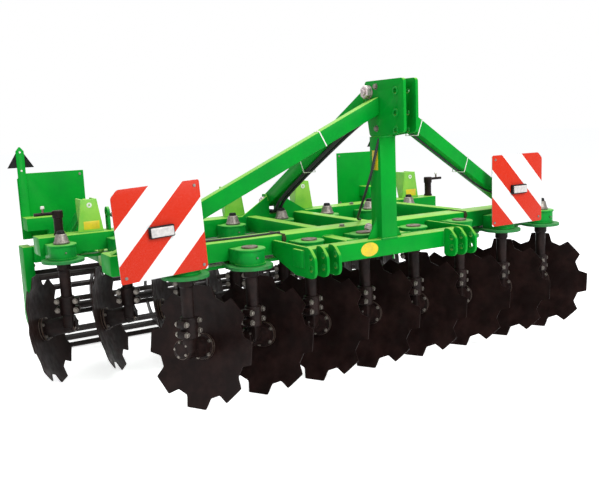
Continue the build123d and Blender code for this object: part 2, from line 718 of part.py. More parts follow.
def tower(with_pin):
    """Bracket on the rear beam: tapered front plate and two side plates, with a pin."""
    front = [
        (-TOWER_BASE / 2, BEAM_TOP),
        (TOWER_BASE / 2, BEAM_TOP),
        (TOWER_TIP / 2, TOWER_TOP),
        (-TOWER_TIP / 2, TOWER_TOP),
    ]
    body = plate_xz(front, TOWER_FRONT, TOWER_T)
    rear = TOWER_FRONT + TOWER_DEPTH
    side = [
        (TOWER_FRONT, BEAM_TOP),
        (REAR_BEAM_Y + BEAM_DEPTH, BEAM_TOP),
        (rear, TOWER_PIN[1] - TOWER_T * 3),
        (rear, TOWER_TOP),
        (TOWER_FRONT, TOWER_TOP),
    ]
    place = TOWER_TIP / 2 - TOWER_T / 2
    for x in (-place, place):
        body += plate_yz(side, x, TOWER_T)
    if with_pin:
        pin = shaft(TOWER_PIN_RADIUS, -TOWER_TIP / 2, TOWER_TIP / 2)
        body += lying(pin, *TOWER_PIN)
    return body


def roller_brackets():
    towers = [Pos(x, 0, 0) * tower(abs(x) == DEPTH_LINK_X) for x in TOWER_X]
    return towers + both_sides(trail_lug())


def oblong(start, end, apothem):
    """An outline along +X with a many-sided end about each of two points."""
    ends = [Pos(x, 0) * flats(apothem, HUB_SIDES) for x in (start, end)]
    return make_hull([edge for outline in ends for edge in outline.edges()])


def depth_link():
    """Slotted link from the cross tube to the tower; its slot rides on the tower's pin."""
    (eye_y, eye_z), (pin_y, pin_z) = LINK_EYE, TOWER_PIN
    run = Vector(0, pin_y - eye_y, pin_z - eye_z)
    frame = Plane(origin=(DEPTH_LINK_X, eye_y, eye_z), x_dir=run, z_dir=(1, 0, 0))
    hole = TOWER_PIN_RADIUS + PIN_GAP
    outline = oblong(0, run.length, DEPTH_LINK_WIDTH / 2) - flats(hole, HUB_SIDES)
    start = run.length - DEPTH_STROKE
    outline -= oblong(start, run.length, hole + DEPTH_SLOT_PLAY / 2)
    return extrude(frame * outline, DEPTH_LINK_T / 2, both=True)


# ---- Signs, boards and adjusters -----------------------------------------------------
def sign_plate(x, y, z):
    """Square warning plate with its outer top corner cut off, its back at y."""
    half, cut = SIGN / 2, SIGN_CORNER
    outline = [
        (-half, -half),
        (half, -half),
        (half, half - cut),
        (half - cut, half),
        (-half, half),
    ]
    return Pos(x, 0, z) * plate_xz(outline, y - SIGN_T, SIGN_T)


def front_sign(hand, x, z, turn):
    """A front sign with its lamp: plate and lamp, both turned round the middle bolt."""
    width, depth, height = LAMP
    plate = sign_plate(x, FRONT_SIGN_Y, z)
    lamp = Pos(x, FRONT_SIGN_Y - SIGN_T - depth / 2, z) * Box(width, depth, height)
    if hand < 0:
        plate, lamp = mirror(plate, Plane.YZ), mirror(lamp, Plane.YZ)
    bolt = Axis((hand * x, 0, z), (0, 1, 0))
    return plate.rotate(bolt, hand * turn), lamp.rotate(bolt, hand * turn)


def sign_bracket():
    """Square tube from the front beam forwards and up behind the right-hand sign."""
    half = SIGN_TUBE / 2
    x = (SIGN_POST_X - half, SIGN_POST_X + half)
    z = (BEAM_BOTTOM + half, BEAM_BOTTOM + 3 * half)
    foot = block(x, (FRONT_SIGN_Y, FRONT_BEAM_Y), z)
    top = min(middle for _, _, middle, _ in FRONT_SIGNS) + SIGN / 3
    post = block(x, (FRONT_SIGN_Y, FRONT_SIGN_Y + SIGN_TUBE), (z[0], top))
    return foot + post


def rear_board():
    """Right-hand rear plate on a tube and upright, with a triangular reflector above."""
    half = BOARD_POST / 2
    top = CROSS_TUBE_Z + CROSS_TUBE / 2
    arm_z = (BOARD_ARM_Z - BOARD_ARM / 2, BOARD_ARM_Z + BOARD_ARM / 2)
    post = block(
        (BOARD_POST_X - half, BOARD_POST_X + half),
        (CROSS_TUBE_Y - half, CROSS_TUBE_Y + half),
        (top, arm_z[1]),
    )
    reach = REFLECTOR_X + REFLECTOR_BAR / 2
    arm_y = (CROSS_TUBE_Y - half, BOARD_Y - REFLECTOR_T)
    arm = block((BOARD_X, reach), arm_y, arm_z)
    bar = block(
        (REFLECTOR_X - REFLECTOR_BAR / 2, reach),
        (BOARD_Y - REFLECTOR_T, BOARD_Y),
        (BOARD_Z - SIGN / 2, REFLECTOR_TIP),
    )
    plate = sign_plate(BOARD_X, BOARD_Y + SIGN_T, BOARD_Z)
    triangle = [
        (REFLECTOR_X - REFLECTOR_BASE / 2, REFLECTOR_Z),
        (REFLECTOR_X + REFLECTOR_BASE / 2, REFLECTOR_Z),
        (REFLECTOR_X, REFLECTOR_TIP),
    ]
    reflector = plate_xz(triangle, BOARD_Y, REFLECTOR_T)
    stem = block(
        (BOARD_X, BOARD_X + BOARD_POST), (BOARD_Y - REFLECTOR_T, BOARD_Y), arm_z
    )
    return post + arm + bar + plate + reflector + stem


def beam_screw():
    """Black screw sleeve on the end of the rear beam, with a cross bar through its top."""
    sleeve = Pos(SCREW_X, SCREW_Y, 0) * shaft(SCREW_RADIUS, BEAM_TOP, SCREW_TOP)
    bar = shaft(SCREW_RADIUS / 3, SCREW_X - SCREW_RADIUS, SCREW_X + SCREW_BAR)
    return sleeve + lying(bar, SCREW_Y, SCREW_TOP - SCREW_RADIUS / 2)


def angle_spindle():
    """Threaded rod with an eye, which sets the angle of the rear row."""
    start, end = SPINDLE_X
    seat = block(
        (start - 8, start + 8),
        (SPINDLE_Y - SPINDLE_EYE_RADIUS, SPINDLE_Y + SPINDLE_EYE_RADIUS),
        (BEAM_TOP, SPINDLE_EYE_Z),
    )
    eye = polygon_prism(SPINDLE_EYE_RADIUS, BOSS_SIDES, start - 8, start + 8)
    drop = SPINDLE_EYE_Z - BEAM_TOP - SPINDLE_ROD_RADIUS - 4
    run = Vector(end - start, 0, -drop)
    frame = Plane(origin=(start, SPINDLE_Y, SPINDLE_EYE_Z), z_dir=run)
    rod = frame * shaft(SPINDLE_ROD_RADIUS, 0, run.length)
    rod_seat = block(
        (end - 20, end + 20),
        (SPINDLE_Y - SPINDLE_ROD_RADIUS, SPINDLE_Y + SPINDLE_ROD_RADIUS),
        (BEAM_TOP, BEAM_TOP + 2 * SPINDLE_ROD_RADIUS + 8),
    )
    return seat + lying(eye, SPINDLE_Y, SPINDLE_EYE_Z) + rod + rod_seat


def adjusters():
    return both_sides(beam_screw()) + [angle_spindle()]


def hose(x):
    """Hydraulic hose clipped along the underside of the stay, down to the rear beam."""
    (head_y, head_z), (foot_y, foot_z) = STAY_HEAD, STAY_FOOT
    slope = (foot_z - head_z) / (foot_y - head_y)
    lean = hypot(1, slope)
    drop = (STAY / 2 + HOSE_RADIUS + SEAT_GAP) * lean

    def under(y):
        return head_z + slope * (y - head_y) - drop

    route = [
        (x, -168.0, 1345.0),
        (x, -110.0, 1395.0),
        (x, -40.0, under(-40.0)),
        (x, ROW_GAP - 20.0, under(ROW_GAP - 20.0)),
        (x, ROW_GAP + 50.0, BEAM_TOP + 22.0),
        (x, ROW_GAP + 110.0, BEAM_TOP + HOSE_RADIUS + SEAT_GAP),
        (x, ROW_GAP + 220.0, BEAM_TOP + HOSE_RADIUS + SEAT_GAP),
    ]
    radii = []
    for before, here, after in zip(route, route[1:], route[2:]):
        a, b = Vector(*here) - Vector(*before), Vector(*after) - Vector(*here)
        turn = a.get_angle(b)
        radii.append(round(0.45 * min(a.length, b.length) / tan(radians(turn / 2)), 1))
    print("hose bend radii", radii)
    path = FilletPolyline(*route, radius=radii)
    outline = RegularPolygon(HOSE_RADIUS, HOSE_SIDES)
    tube = sweep(Plane(path @ 0, z_dir=path % 0) * outline, path=path)
    section = outline.area
    print("hose volume over section times length", tube.volume / (section * path.length))
    return tube


def build_all():
    os.makedirs("parts", exist_ok=True)
    legs = {"nut": leg("nut"), "washer": leg("washer")}
    disc = on_hub_axis(dished_disc())
    for row, hand, y in ROWS:
        places = pivots(hand)
        for number, x in enumerate(places, start=1):
            nutted = row == "rear" or number == LEGS_PER_ROW
            this_leg = legs["nut" if nutted else "washer"]
            write(f"{row}_leg_{number}", at_pivot(this_leg, hand, x, y))
            write(f"{row}_disc_{number}", at_pivot(disc, hand, x, y))
        write(f"{row}_link_bar", link_bar(hand, y))
        write(f"{row}_bosses", *[Pos(x, y, 0) * boss() for x in places])
    write("front_beam", beam(1, FRONT_BEAM_Y))
    write("rear_beam", rear_beam())
    write("frame_rails", *rails())
    write("headstock_beam", headstock_beam())
    plates = [side for x in HITCH_PLATE_X for side in both_sides(hitch_plate(x))]
    write("hitch_plates", *plates)
    write("mast_post", mast_post())
    write("mast_head", mast_head())
    write("side_braces", *both_sides(side_brace()))
    write("rear_stay", rear_stay())
    write("frame_pins", *frame_pins())
    write("roller_brackets", *roller_brackets())
    write("sign_brackets", *both_sides(sign_bracket()))
    signs = [front_sign(*row) for row in FRONT_SIGNS]
    write("front_signs", *[plate for plate, _ in signs])
    write("sign_lamps", *[lamp for _, lamp in signs])
    write("adjusting_screws", *adjusters())
    write("hoses", *[hose(x) for x in HOSE_X])
    write("roller_cross_tube", cross_tube())
    write("roller_trail_arms", *both_sides(trail_arm()))
    write("roller_side_arms", *both_sides(side_arm()))
    write("rear_boards", *both_sides(rear_board()))
    write("roller_bars", *roller_bars())
    write("roller_rings", *roller_core())
    left, right = both_sides(depth_link())[::-1]
    write("depth_link_left", left)
    write("depth_link_right", right)


build_all()
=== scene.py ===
"""Looks of the mounted disc harrow: its pieces, their finishes, the lights and the camera.

Sizes are millimetres. X runs across the machine, Y rearwards from the front row of leg
pivots, Z up from the ground; a piece is brought into the shared frame as it is finished.
"""

from __future__ import annotations

import logging
import math
from dataclasses import dataclass
from enum import Enum
from itertools import product
from typing import Callable, Iterable, Sequence

import bmesh
import bpy
from mathutils import Matrix, Vector

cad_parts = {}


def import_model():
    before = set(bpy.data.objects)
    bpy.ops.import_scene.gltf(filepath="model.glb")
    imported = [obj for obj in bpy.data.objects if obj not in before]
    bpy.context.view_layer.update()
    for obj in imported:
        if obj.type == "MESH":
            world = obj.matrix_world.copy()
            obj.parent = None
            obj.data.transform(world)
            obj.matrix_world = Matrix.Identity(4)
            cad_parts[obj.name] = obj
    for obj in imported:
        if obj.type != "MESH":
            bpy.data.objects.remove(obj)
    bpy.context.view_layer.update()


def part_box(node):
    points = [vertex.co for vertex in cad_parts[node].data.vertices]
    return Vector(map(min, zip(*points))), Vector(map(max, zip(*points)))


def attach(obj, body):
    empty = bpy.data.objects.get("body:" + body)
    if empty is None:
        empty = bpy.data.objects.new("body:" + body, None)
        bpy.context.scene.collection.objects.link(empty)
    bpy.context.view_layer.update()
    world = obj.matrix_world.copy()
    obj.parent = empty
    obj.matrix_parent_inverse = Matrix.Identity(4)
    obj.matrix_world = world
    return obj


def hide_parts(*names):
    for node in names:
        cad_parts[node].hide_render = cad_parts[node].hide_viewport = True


log = logging.getLogger("disc_harrow")

Point = tuple[float, float, float]
Pair = tuple[float, float]
Mesh = bmesh.types.BMesh
Tree = bpy.types.NodeTree
Socket = bpy.types.NodeSocket
MM = 0.001
SIDES = (-1, 1)  # left, right
BEAM_SETBACK = 88.0  # leg pivot to the front face of its beam


# ---- Finishes ------------------------------------------------------------------------
MIX_FIRST, MIX_SECOND, MIX_COLOUR = 6, 7, 2  # a mix node's colour inputs and output
WHITE = (1.0, 1.0, 1.0, 1.0)
ROUGH_SPREAD = 0.12  # how far a finish's roughness wanders
COAT_ROUGHNESS = 0.12
CLOUD_HIGH = 0.68  # value of the noise at which a cloud is fully worn


def linear(code: str) -> tuple[float, float, float, float]:
    """Turns an sRGB hex colour to linear.

    Args:
        code: six hex digits after a hash.

    Returns:
        Red, green, blue and an alpha of 1.
    """
    parts = [int(code[i : i + 2], 16) / 255 for i in (1, 3, 5)]
    channels = [c / 12.92 if c <= 0.04045 else ((c + 0.055) / 1.055) ** 2.4 for c in parts]
    return (*channels, 1.0)


def cleared(owner: bpy.types.Material | bpy.types.World) -> Tree:
    """Turns on the nodes of a material or world and empties its tree.

    Args:
        owner: the material or world.

    Returns:
        Its tree.
    """
    owner.use_nodes = True
    owner.node_tree.nodes.clear()
    return owner.node_tree


def add_node(
    tree: Tree, kind: str, settings: dict | None = None, links: dict | None = None
) -> bpy.types.Node:
    """Adds a node with its settings and links.

    Args:
        tree: the node tree it goes into.
        kind: the node's type name, after "ShaderNode".
        settings: attribute, socket name or socket number, and value.
        links: socket name or number, and the output that feeds it.

    Returns:
        The node.
    """
    made = tree.nodes.new(f"ShaderNode{kind}")
    for name, value in (settings or {}).items():
        if isinstance(name, str) and hasattr(made, name):
            setattr(made, name, value)
        else:
            made.inputs[name].default_value = value
    for name, source in (links or {}).items():
        tree.links.new(source, made.inputs[name])
    return made


@dataclass(frozen=True)
class Finish:
    """A surface with a cloudy change between two colours and a fine relief.

    The clouds, the grain and the relief are scaled in millimetres.
    """

    name: str
    base: str
    worn: str
    roughness: float
    cloud_mm: float
    grain_mm: float
    relief_mm: float
    gloss: float = 0.5
    metallic: float = 0.0
    coat: float = 0.0
    cloud_low: float = 0.42
    # A paler colour painted on upward faces as a highlight, and how much of it shows.
    top_highlight: str | None = None
    top_highlight_share: float = 0.0

    def make(self) -> bpy.types.Material:
        """Builds the material, unless it is there already.

        Returns:
            The material.
        """
        known = bpy.data.materials.get(self.name)
        if known:
            return known
        material = bpy.data.materials.new(self.name)
        tree = cleared(material)
        where = add_node(tree, "TexCoord").outputs["Object"]
        settings = {
            "Metallic": self.metallic,
            "Specular IOR Level": self.gloss,
            "Coat Weight": self.coat,
            "Coat Roughness": COAT_ROUGHNESS,
        }
        links = {
            "Base Color": self.colour(tree, where),
            "Roughness": self.sheen(tree, where),
            "Normal": self.relief(tree, where),
        }
        shader = add_node(tree, "BsdfPrincipled", settings, links)
        add_node(tree, "OutputMaterial", {}, {"Surface": shader.outputs["BSDF"]})
        return material

    def colour(self, tree: Tree, where: Socket) -> Socket:
        """Base and worn colour in clouds, with a paler painted highlight on upward faces.

        Args:
            tree: the material's tree.
            where: the place on the piece.

        Returns:
            The colour output.
        """
        scale = {"Scale": 1000 / self.cloud_mm, "Detail": 6.0, "Roughness": 0.62}
        noise = add_node(tree, "TexNoise", scale, {"Vector": where}).outputs["Fac"]
        limits = {"From Min": self.cloud_low, "From Max": CLOUD_HIGH}
        clouds = add_node(tree, "MapRange", limits, {"Value": noise}).outputs["Result"]
        ends = {MIX_FIRST: linear(self.base), MIX_SECOND: linear(self.worn)}
        mixed = add_node(tree, "Mix", {"data_type": "RGBA", **ends}, {0: clouds})
        colour = mixed.outputs[MIX_COLOUR]
        if self.top_highlight is None:
            return colour
        # Painted highlight: faces that look upward are mixed towards the paler colour.
        normal = add_node(tree, "NewGeometry").outputs["Normal"]
        rise = add_node(tree, "SeparateXYZ", {}, {0: normal}).outputs["Z"]
        limits = {"From Min": 0.35, "From Max": 0.95, "To Max": self.top_highlight_share}
        share = add_node(tree, "MapRange", limits, {"Value": rise}).outputs["Result"]
        settings = {"data_type": "RGBA", MIX_SECOND: linear(self.top_highlight)}
        film = add_node(tree, "Mix", settings, {0: share, MIX_FIRST: colour})
        return film.outputs[MIX_COLOUR]

    def sheen(self, tree: Tree, where: Socket) -> Socket:
        """Roughness that wanders a little, so that the gloss breaks up.

        Args:
            tree: the material's tree.
            where: the place on the piece.

        Returns:
            The roughness output.
        """
        scale = {"Scale": 3000 / self.cloud_mm, "Detail": 4.0}
        noise = add_node(tree, "TexNoise", scale, {"Vector": where}).outputs["Fac"]
        low = max(0.05, self.roughness - ROUGH_SPREAD)
        high = min(1.0, self.roughness + ROUGH_SPREAD)
        limits = {"From Min": 0.3, "From Max": 0.7, "To Min": low, "To Max": high}
        return add_node(tree, "MapRange", limits, {"Value": noise}).outputs["Result"]

    def relief(self, tree: Tree, where: Socket) -> Socket:
        """Fine bumps of the real grain size.

        Args:
            tree: the material's tree.
            where: the place on the piece.

        Returns:
            The normal output.
        """
        scale = {"Scale": 1000 / self.grain_mm, "Detail": 2.0}
        grain = add_node(tree, "TexNoise", scale, {"Vector": where}).outputs["Fac"]
        depth = {"Strength": 0.35, "Distance": self.relief_mm * MM}
        return add_node(tree, "Bump", depth, {"Height": grain}).outputs["Normal"]


@dataclass(frozen=True)
class HatchedFilm(Finish):
    """Reflective warning film: slanting red bands on white, with a fine cell pattern.

    The bands are 230 mm from red to red, square to their slant. The cells are coarser than
    real ones, so that they show.
    """

    base: str = "#f4f6f4"
    worn: str = "#d32b0c"
    roughness: float = 0.3
    cloud_mm: float = 6.0
    grain_mm: float = 6.0
    relief_mm: float = 0.12
    gloss: float = 0.14
    centre: Pair = (0.0, 0.0)
    slant: float = 1.0
    lean: float = 0.0
    repeat_mm: float = 230.3
    cell_wall: str = "#c9c9c4"

    def colour(self, tree: Tree, where: Socket) -> Socket:
        """Red and white bands that run through the plate's centre.

        Args:
            tree: the material's tree.
            where: the place on the piece.

        Returns:
            The colour output.
        """
        x, z = (value * MM for value in self.centre)
        half = self.repeat_mm * MM / 2
        angle = math.radians(-45.0 * self.slant - self.lean)
        settings = {"vector_type": "TEXTURE", "Location": (x, 0.0, z)}
        moved = add_node(tree, "Mapping", settings, {"Vector": where}).outputs["Vector"]
        settings = {"Rotation": (0.0, angle, 0.0)}
        slanted = add_node(tree, "Mapping", settings, {"Vector": moved}).outputs["Vector"]
        across = add_node(tree, "SeparateXYZ", {}, {0: slanted}).outputs["X"]
        settings = {"operation": "PINGPONG", 1: half}
        folded = add_node(tree, "Math", settings, {0: across}).outputs["Value"]
        settings = {"operation": "LESS_THAN", 1: half / 2}
        red = add_node(tree, "Math", settings, {0: folded}).outputs["Value"]
        settings = {"Scale": 1000 / self.cloud_mm, "feature": "DISTANCE_TO_EDGE"}
        cells = add_node(tree, "TexVoronoi", settings, {"Vector": where}).outputs["Distance"]
        limits = {"From Max": 0.12, "To Min": 0.95, "To Max": 1.0}
        walls = add_node(tree, "MapRange", limits, {"Value": cells}).outputs["Result"]
        ends = {MIX_FIRST: linear(self.base), MIX_SECOND: linear(self.worn)}
        bands = add_node(tree, "Mix", {"data_type": "RGBA", **ends}, {0: red})
        settings = {"data_type": "RGBA", MIX_FIRST: linear(self.cell_wall)}
        links = {0: walls, MIX_SECOND: bands.outputs[MIX_COLOUR]}
        return add_node(tree, "Mix", settings, links).outputs[MIX_COLOUR]


@dataclass(frozen=True)
class RingedSteel(Finish):
    """Oiled rolled steel of a disc: as Finish, with faint rings about the disc's own axis."""

    base: str = "#190f0e"
    worn: str = "#2c1c1a"
    roughness: float = 0.44
    cloud_mm: float = 130.0
    grain_mm: float = 3.0
    relief_mm: float = 0.3
    gloss: float = 0.1
    centre: Point = (0.0, 0.0, 0.0)
    turned_to: Point = (0.0, 0.0, 0.0)
    ring_mm: float = 14.0

    def relief(self, tree: Tree, where: Socket) -> Socket:
        """Fine bumps with rings of the rolling about the disc's axis.

        Args:
            tree: the material's tree.
            where: the place on the piece.

        Returns:
            The normal output.
        """
        settings = {"vector_type": "TEXTURE", "Location": self.centre, "Rotation": self.turned_to}
        local = add_node(tree, "Mapping", settings, {"Vector": where}).outputs["Vector"]
        settings = {
            "wave_type": "RINGS",
            "rings_direction": "Z",
            "Scale": 1000 / self.ring_mm / 20,
            "Distortion": 1.5,
            "Detail": 2.0,
        }
        rings = add_node(tree, "TexWave", settings, {"Vector": local}).outputs["Fac"]
        depth = {"Strength": 0.4, "Distance": self.relief_mm * MM}
        links = {"Height": rings, "Normal": super().relief(tree, where)}
        return add_node(tree, "Bump", depth, links).outputs["Normal"]


# Each row: base and worn colour, roughness, and the size of clouds, grain and relief in mm.
# The grain is coarser than that of real paint and metal, so that it shows.
# Gloss enamel over shot-blasted tube: deep green, with a pale painted highlight on top faces.
GREEN_ENAMEL = Finish(
    "green_enamel", "#019c2c", "#048a2c", 0.4, 260.0, 5.0, 0.3, gloss=0.08,
    top_highlight="#a8d85c", top_highlight_share=0.66,
)
# The same enamel painted darker green as shade under the bosses, on the levers, with a weaker
# painted highlight on top faces.
SHADED_ENAMEL = Finish(
    "shaded_green_enamel", "#17843a", "#2c6a34", 0.5, 45.0, 5.0, 0.3, gloss=0.3,
    cloud_low=0.36, top_highlight="#4c9a4a", top_highlight_share=0.4,
)
# A lighter green than the enamel, on the roller brackets, with a pale painted highlight on top
# faces.
LIGHT_ENAMEL = Finish(
    "light_green_enamel", "#93d04c", "#6fc146", 0.38, 180.0, 5.0, 0.3, gloss=0.3,
    top_highlight="#c4e48c", top_highlight_share=0.6,
)
# Enamel on castings: the same green, orange-peel from the cast skin below, with a pale painted
# highlight on top faces.
CAST_GREEN = Finish(
    "green_enamel_on_casting", "#069a34", "#07842f", 0.44, 60.0, 7.0, 0.7, gloss=0.16,
    top_highlight="#8ccc60", top_highlight_share=0.5,
)
# Oil-black paint over forged and cast steel: dark brown where it is dusty.
OIL_BLACK = Finish("oil_black_paint", "#160d0c", "#281a18", 0.46, 55.0, 4.0, 0.5, gloss=0.14)
# The same paint sprayed on rolled bar: smoother, with a little more shine.
ROLLER_BLACK = Finish("roller_black_paint", "#150e0d", "#261b19", 0.5, 90.0, 6.0, 0.4, gloss=0.28)
# Zinc on bolts and nuts: pale grey crystals, slightly dull.
ZINC = Finish("zinc_plate", "#8a837c", "#6a645e", 0.46, 14.0, 2.0, 0.15, metallic=0.75)
# Ground pins and large bolts: brighter, with a pinkish cast.
PIN_STEEL = Finish("ground_pin_steel", "#cfbfc0", "#a5979a", 0.36, 18.0, 2.0, 0.15, metallic=0.6)
# Turned steel left bare, with a brown bloom of first rust.
BARE_STEEL = Finish("bare_turned_steel", "#7d7067", "#583c2c", 0.46, 35.0, 2.0, 0.2, metallic=0.75)
# Sintered bushing, oily brown.
BRONZE = Finish("oiled_bronze_bushing", "#7a4e2c", "#5a3a24", 0.45, 20.0, 3.0, 0.25, metallic=0.7)
# Rolled aluminium backs of the warning plates: flat pale grey.
ALUMINIUM = Finish("mill_aluminium", "#b9bcbc", "#9da1a2", 0.45, 80.0, 1.5, 0.1, metallic=0.9)
# Clear ribbed lens: milky and wet-looking.
LENS = Finish("frosted_lens_plastic", "#d8d4d0", "#bdb9b8", 0.2, 18.0, 4.0, 0.5, coat=0.4)
# Moulded plastic of lamps and caps: even matt black.
HOUSING = Finish("black_moulded_plastic", "#161617", "#242425", 0.5, 30.0, 1.5, 0.15, gloss=0.15)
# Extruded hose rubber: dull black with a dusty bloom.
HOSE_RUBBER = Finish("hose_rubber", "#191514", "#2c2522", 0.62, 40.0, 2.5, 0.3, gloss=0.2)
# Cut strap rubber, green-brown with dust.
STRAP_RUBBER = Finish("dusty_strap_rubber", "#2c2a18", "#3d4422", 0.7, 30.0, 2.5, 0.3, gloss=0.2)
# Printed sticker film without print: flat yellow.
YELLOW_FILM = Finish("plain_yellow_film", "#e6ca1e", "#cfb436", 0.35, 45.0, 3.0, 0.08)
# Moulded prism plastic of the reflectors: deep red under a clear skin.
RED_REFLEX = Finish("red_reflex_plastic", "#b3161a", "#8c1014", 0.16, 12.0, 4.0, 0.9, coat=0.6)
# Moulded nylon ties and knobs: warm white.
WHITE_NYLON = Finish("white_nylon", "#f0efe8", "#d8d6cc", 0.45, 30.0, 2.0, 0.1)


# ---- Shapes: small closed ones in millimetres, each in a mesh of its own --------------
class Softness(Enum):
    """Corner radius of a rolled or cut section, in millimetres."""

    BEAM = 9.0
    TUBE = 7.0
    ARM = 5.0
    BAR = 3.0
    PLATE = 2.0
    SHEET = 0.8


def bevel(shape: Mesh, edges: list[bmesh.types.BMEdge], radius: float, steps: int) -> None:
    """Rounds some edges of a shape.

    Args:
        shape: the shape, which is changed.
        edges: the edges that are rounded.
        radius: of the rounding.
        steps: how many faces it has.
    """
    bmesh.ops.bevel(
        shape,
        geom=edges,
        offset=radius,
        affect="EDGES",
        segments=steps,
        profile=0.5,
        material=-1,
        clamp_overlap=True,
    )


def rounded(shape: Mesh, edge: float, least: float = 25.0) -> Mesh:
    """Rounds the edges of a shape.

    Args:
        shape: the shape, which is changed.
        edge: radius of the edges.
        least: smallest angle between two faces, in degrees, that is rounded.

    Returns:
        The same shape.
    """
    if edge > 0:
        limit = math.radians(least)
        sharp = [e for e in shape.edges if e.is_manifold and e.calc_face_angle(0.0) > limit]
        bevel(shape, sharp, edge, 2)
    return shape


def block(x: Pair, y: Pair, z: Pair, edge: float = 0.0) -> Mesh:
    """A box with rounded edges.

    Args:
        x: low and high X.
        y: low and high Y.
        z: low and high Z.
        edge: radius of the edges.

    Returns:
        The shape.
    """
    shape = bmesh.new()
    middle = [sum(ends) / 2 for ends in (x, y, z)]
    size = [high - low for low, high in (x, y, z)]
    place = Matrix.Translation(middle) @ Matrix.Diagonal((*size, 1.0))
    bmesh.ops.create_cube(shape, size=1.0, matrix=place)
    return rounded(shape, edge)


def prism(outline: Sequence[Pair], z: Pair, edge: float = 0.0) -> Mesh:
    """An outline in X and Y drawn up from one height to another.

    Args:
        outline: corners in order.
        z: low and high Z.
        edge: radius of the edges.

    Returns:
        The shape.
    """
    shape = bmesh.new()
    base = shape.faces.new([shape.verts.new((x, y, z[0])) for x, y in outline])
    drawn = bmesh.ops.extrude_face_region(shape, geom=[base])
    top = [v for v in drawn["geom"] if isinstance(v, bmesh.types.BMVert)]
    bmesh.ops.translate(shape, vec=(0.0, 0.0, z[1] - z[0]), verts=top)
    bmesh.ops.recalc_face_normals(shape, faces=shape.faces)
    return rounded(shape, edge)


def turned(profile: Sequence[Pair], steps: int = 32, ring: bool = False) -> Mesh:
    """A profile turned about Z.

    Args:
        profile: radius and height of each corner, in order.
        steps: how many sides the turning has.
        ring: whether the last corner joins the first, round an open middle. Otherwise
            both ends are closed straight onto the axis.

    Returns:
        The shape.
    """
    shape = bmesh.new()
    points = list(profile)
    if not ring and points[0][0] > 0.0:
        points.insert(0, (0.0, points[0][1]))
    if not ring and points[-1][0] > 0.0:
        points.append((0.0, points[-1][1]))
    corners = [shape.verts.new((radius, 0.0, height)) for radius, height in points]
    pairs = list(zip(corners, corners[1:]))
    if ring:
        pairs.append((corners[-1], corners[0]))
    edges = [shape.edges.new(pair) for pair in pairs]
    bmesh.ops.spin(
        shape,
        geom=corners + edges,
        cent=(0.0, 0.0, 0.0),
        axis=(0.0, 0.0, 1.0),
        angle=math.tau,
        steps=steps,
        use_merge=True,
    )
    bmesh.ops.remove_doubles(shape, verts=shape.verts, dist=1e-4)
    bmesh.ops.dissolve_degenerate(shape, edges=shape.edges, dist=1e-5)
    bmesh.ops.recalc_face_normals(shape, faces=shape.faces)
    return shape


def band(radii: Pair, z: Pair, steps: int) -> Mesh:
    """A ring of square section, between two radii and two heights."""
    corners = [(radii[0], z[0]), (radii[1], z[0]), (radii[1], z[1]), (radii[0], z[1])]
    return turned(corners, steps, ring=True)


def rod(radius: float, z: Pair, steps: int = 20, edge: float = 1.0) -> Mesh:
    """A round bar along Z with eased ends.

    Args:
        radius: of the bar.
        z: low and high end.
        steps: how many sides it has.
        edge: easing of its ends.

    Returns:
        The shape.
    """
    low, high = z
    side = [(radius, low + edge), (radius, high - edge)]
    return turned([(radius - edge, low), *side, (radius - edge, high)], steps)


def hexagon(across: float, z: Pair) -> Mesh:
    """A bolt head or nut: six flats with a turned chamfer above.

    Args:
        across: distance across the flats.
        z: seat and crown.

    Returns:
        The shape.
    """
    corner, ease = across / math.sqrt(3), 0.12 * across / 2
    low, high = z
    return turned([(corner, low), (corner, high - ease), (corner - 1.6 * ease, high)], 6)


def of_node(name: str, softness: Softness, corner: float = 0.0) -> Mesh:
    """A copy of a CAD node, merged, in the shared frame, with rounded edges.

    Args:
        name: of the node.
        softness: radius of the edges.
        corner: radius of the outline's corners, for plates that stand across the
            machine.

    Returns:
        The shape, in metres.
    """
    shape = bmesh.new()
    shape.from_mesh(bpy.data.objects[name].data)
    for layer in list(shape.loops.layers.uv):
        shape.loops.layers.uv.remove(layer)
    bmesh.ops.remove_doubles(shape, verts=shape.verts, dist=2e-6)
    bmesh.ops.dissolve_limit(
        shape,
        angle_limit=math.radians(0.6),
        verts=shape.verts,
        edges=shape.edges,
        delimit={"NORMAL"},
    )
    edge, least = softness.value * MM, math.radians(25.0)
    if corner == 0.0:
        return rounded(shape, edge)
    folds = [e for e in shape.edges if e.is_manifold and e.calc_face_angle_signed(0.0) > least]
    ends = [(e, e.verts[0].co - e.verts[1].co) for e in folds]
    corners = [e for e, run in ends if abs(run.normalized().x) > 0.99]
    bevel(shape, corners, corner * MM, 5)
    return rounded(shape, edge, 60.0)


def about(x: float = 0.0, y: float = 0.0, z: float = 0.0) -> Matrix:
    """A move by millimetres."""
    return Matrix.Translation((x, y, z))


def turn(degrees: float, axis: str) -> Matrix:
    """A turn about one axis, in degrees."""
    return Matrix.Rotation(math.radians(degrees), 4, axis)


def sideways(side: int, x: float, y: float, z: float) -> Matrix:
    """A seat at a place, its +Z facing left for -1 and right for 1."""
    return about(x, y, z) @ turn(90.0 * side, "Y")


def between(start: Point, end: Point) -> tuple[Matrix, float]:
    """A place at the start with its +Z towards the end, and how far the end is."""
    run = Vector(end) - Vector(start)
    return about(*start) @ run.to_track_quat("Z", "Y").to_matrix().to_4x4(), run.length


ALONG_X = turn(90.0, "Y")  # +Z to +X
ALONG_Y = turn(-90.0, "X")  # +Z to +Y
FORWARDS = turn(90.0, "X")  # +Z to -Y
OVER = turn(180.0, "X")  # +Z to -Z
MIRRORED = Matrix.Diagonal((-1.0, 1.0, 1.0, 1.0))
SMOOTH_BELOW = math.radians(33.0)  # edges that fold less are shaded smooth
WASHER = 0.72  # a washer's radius, as a share of its bolt's distance across the flats


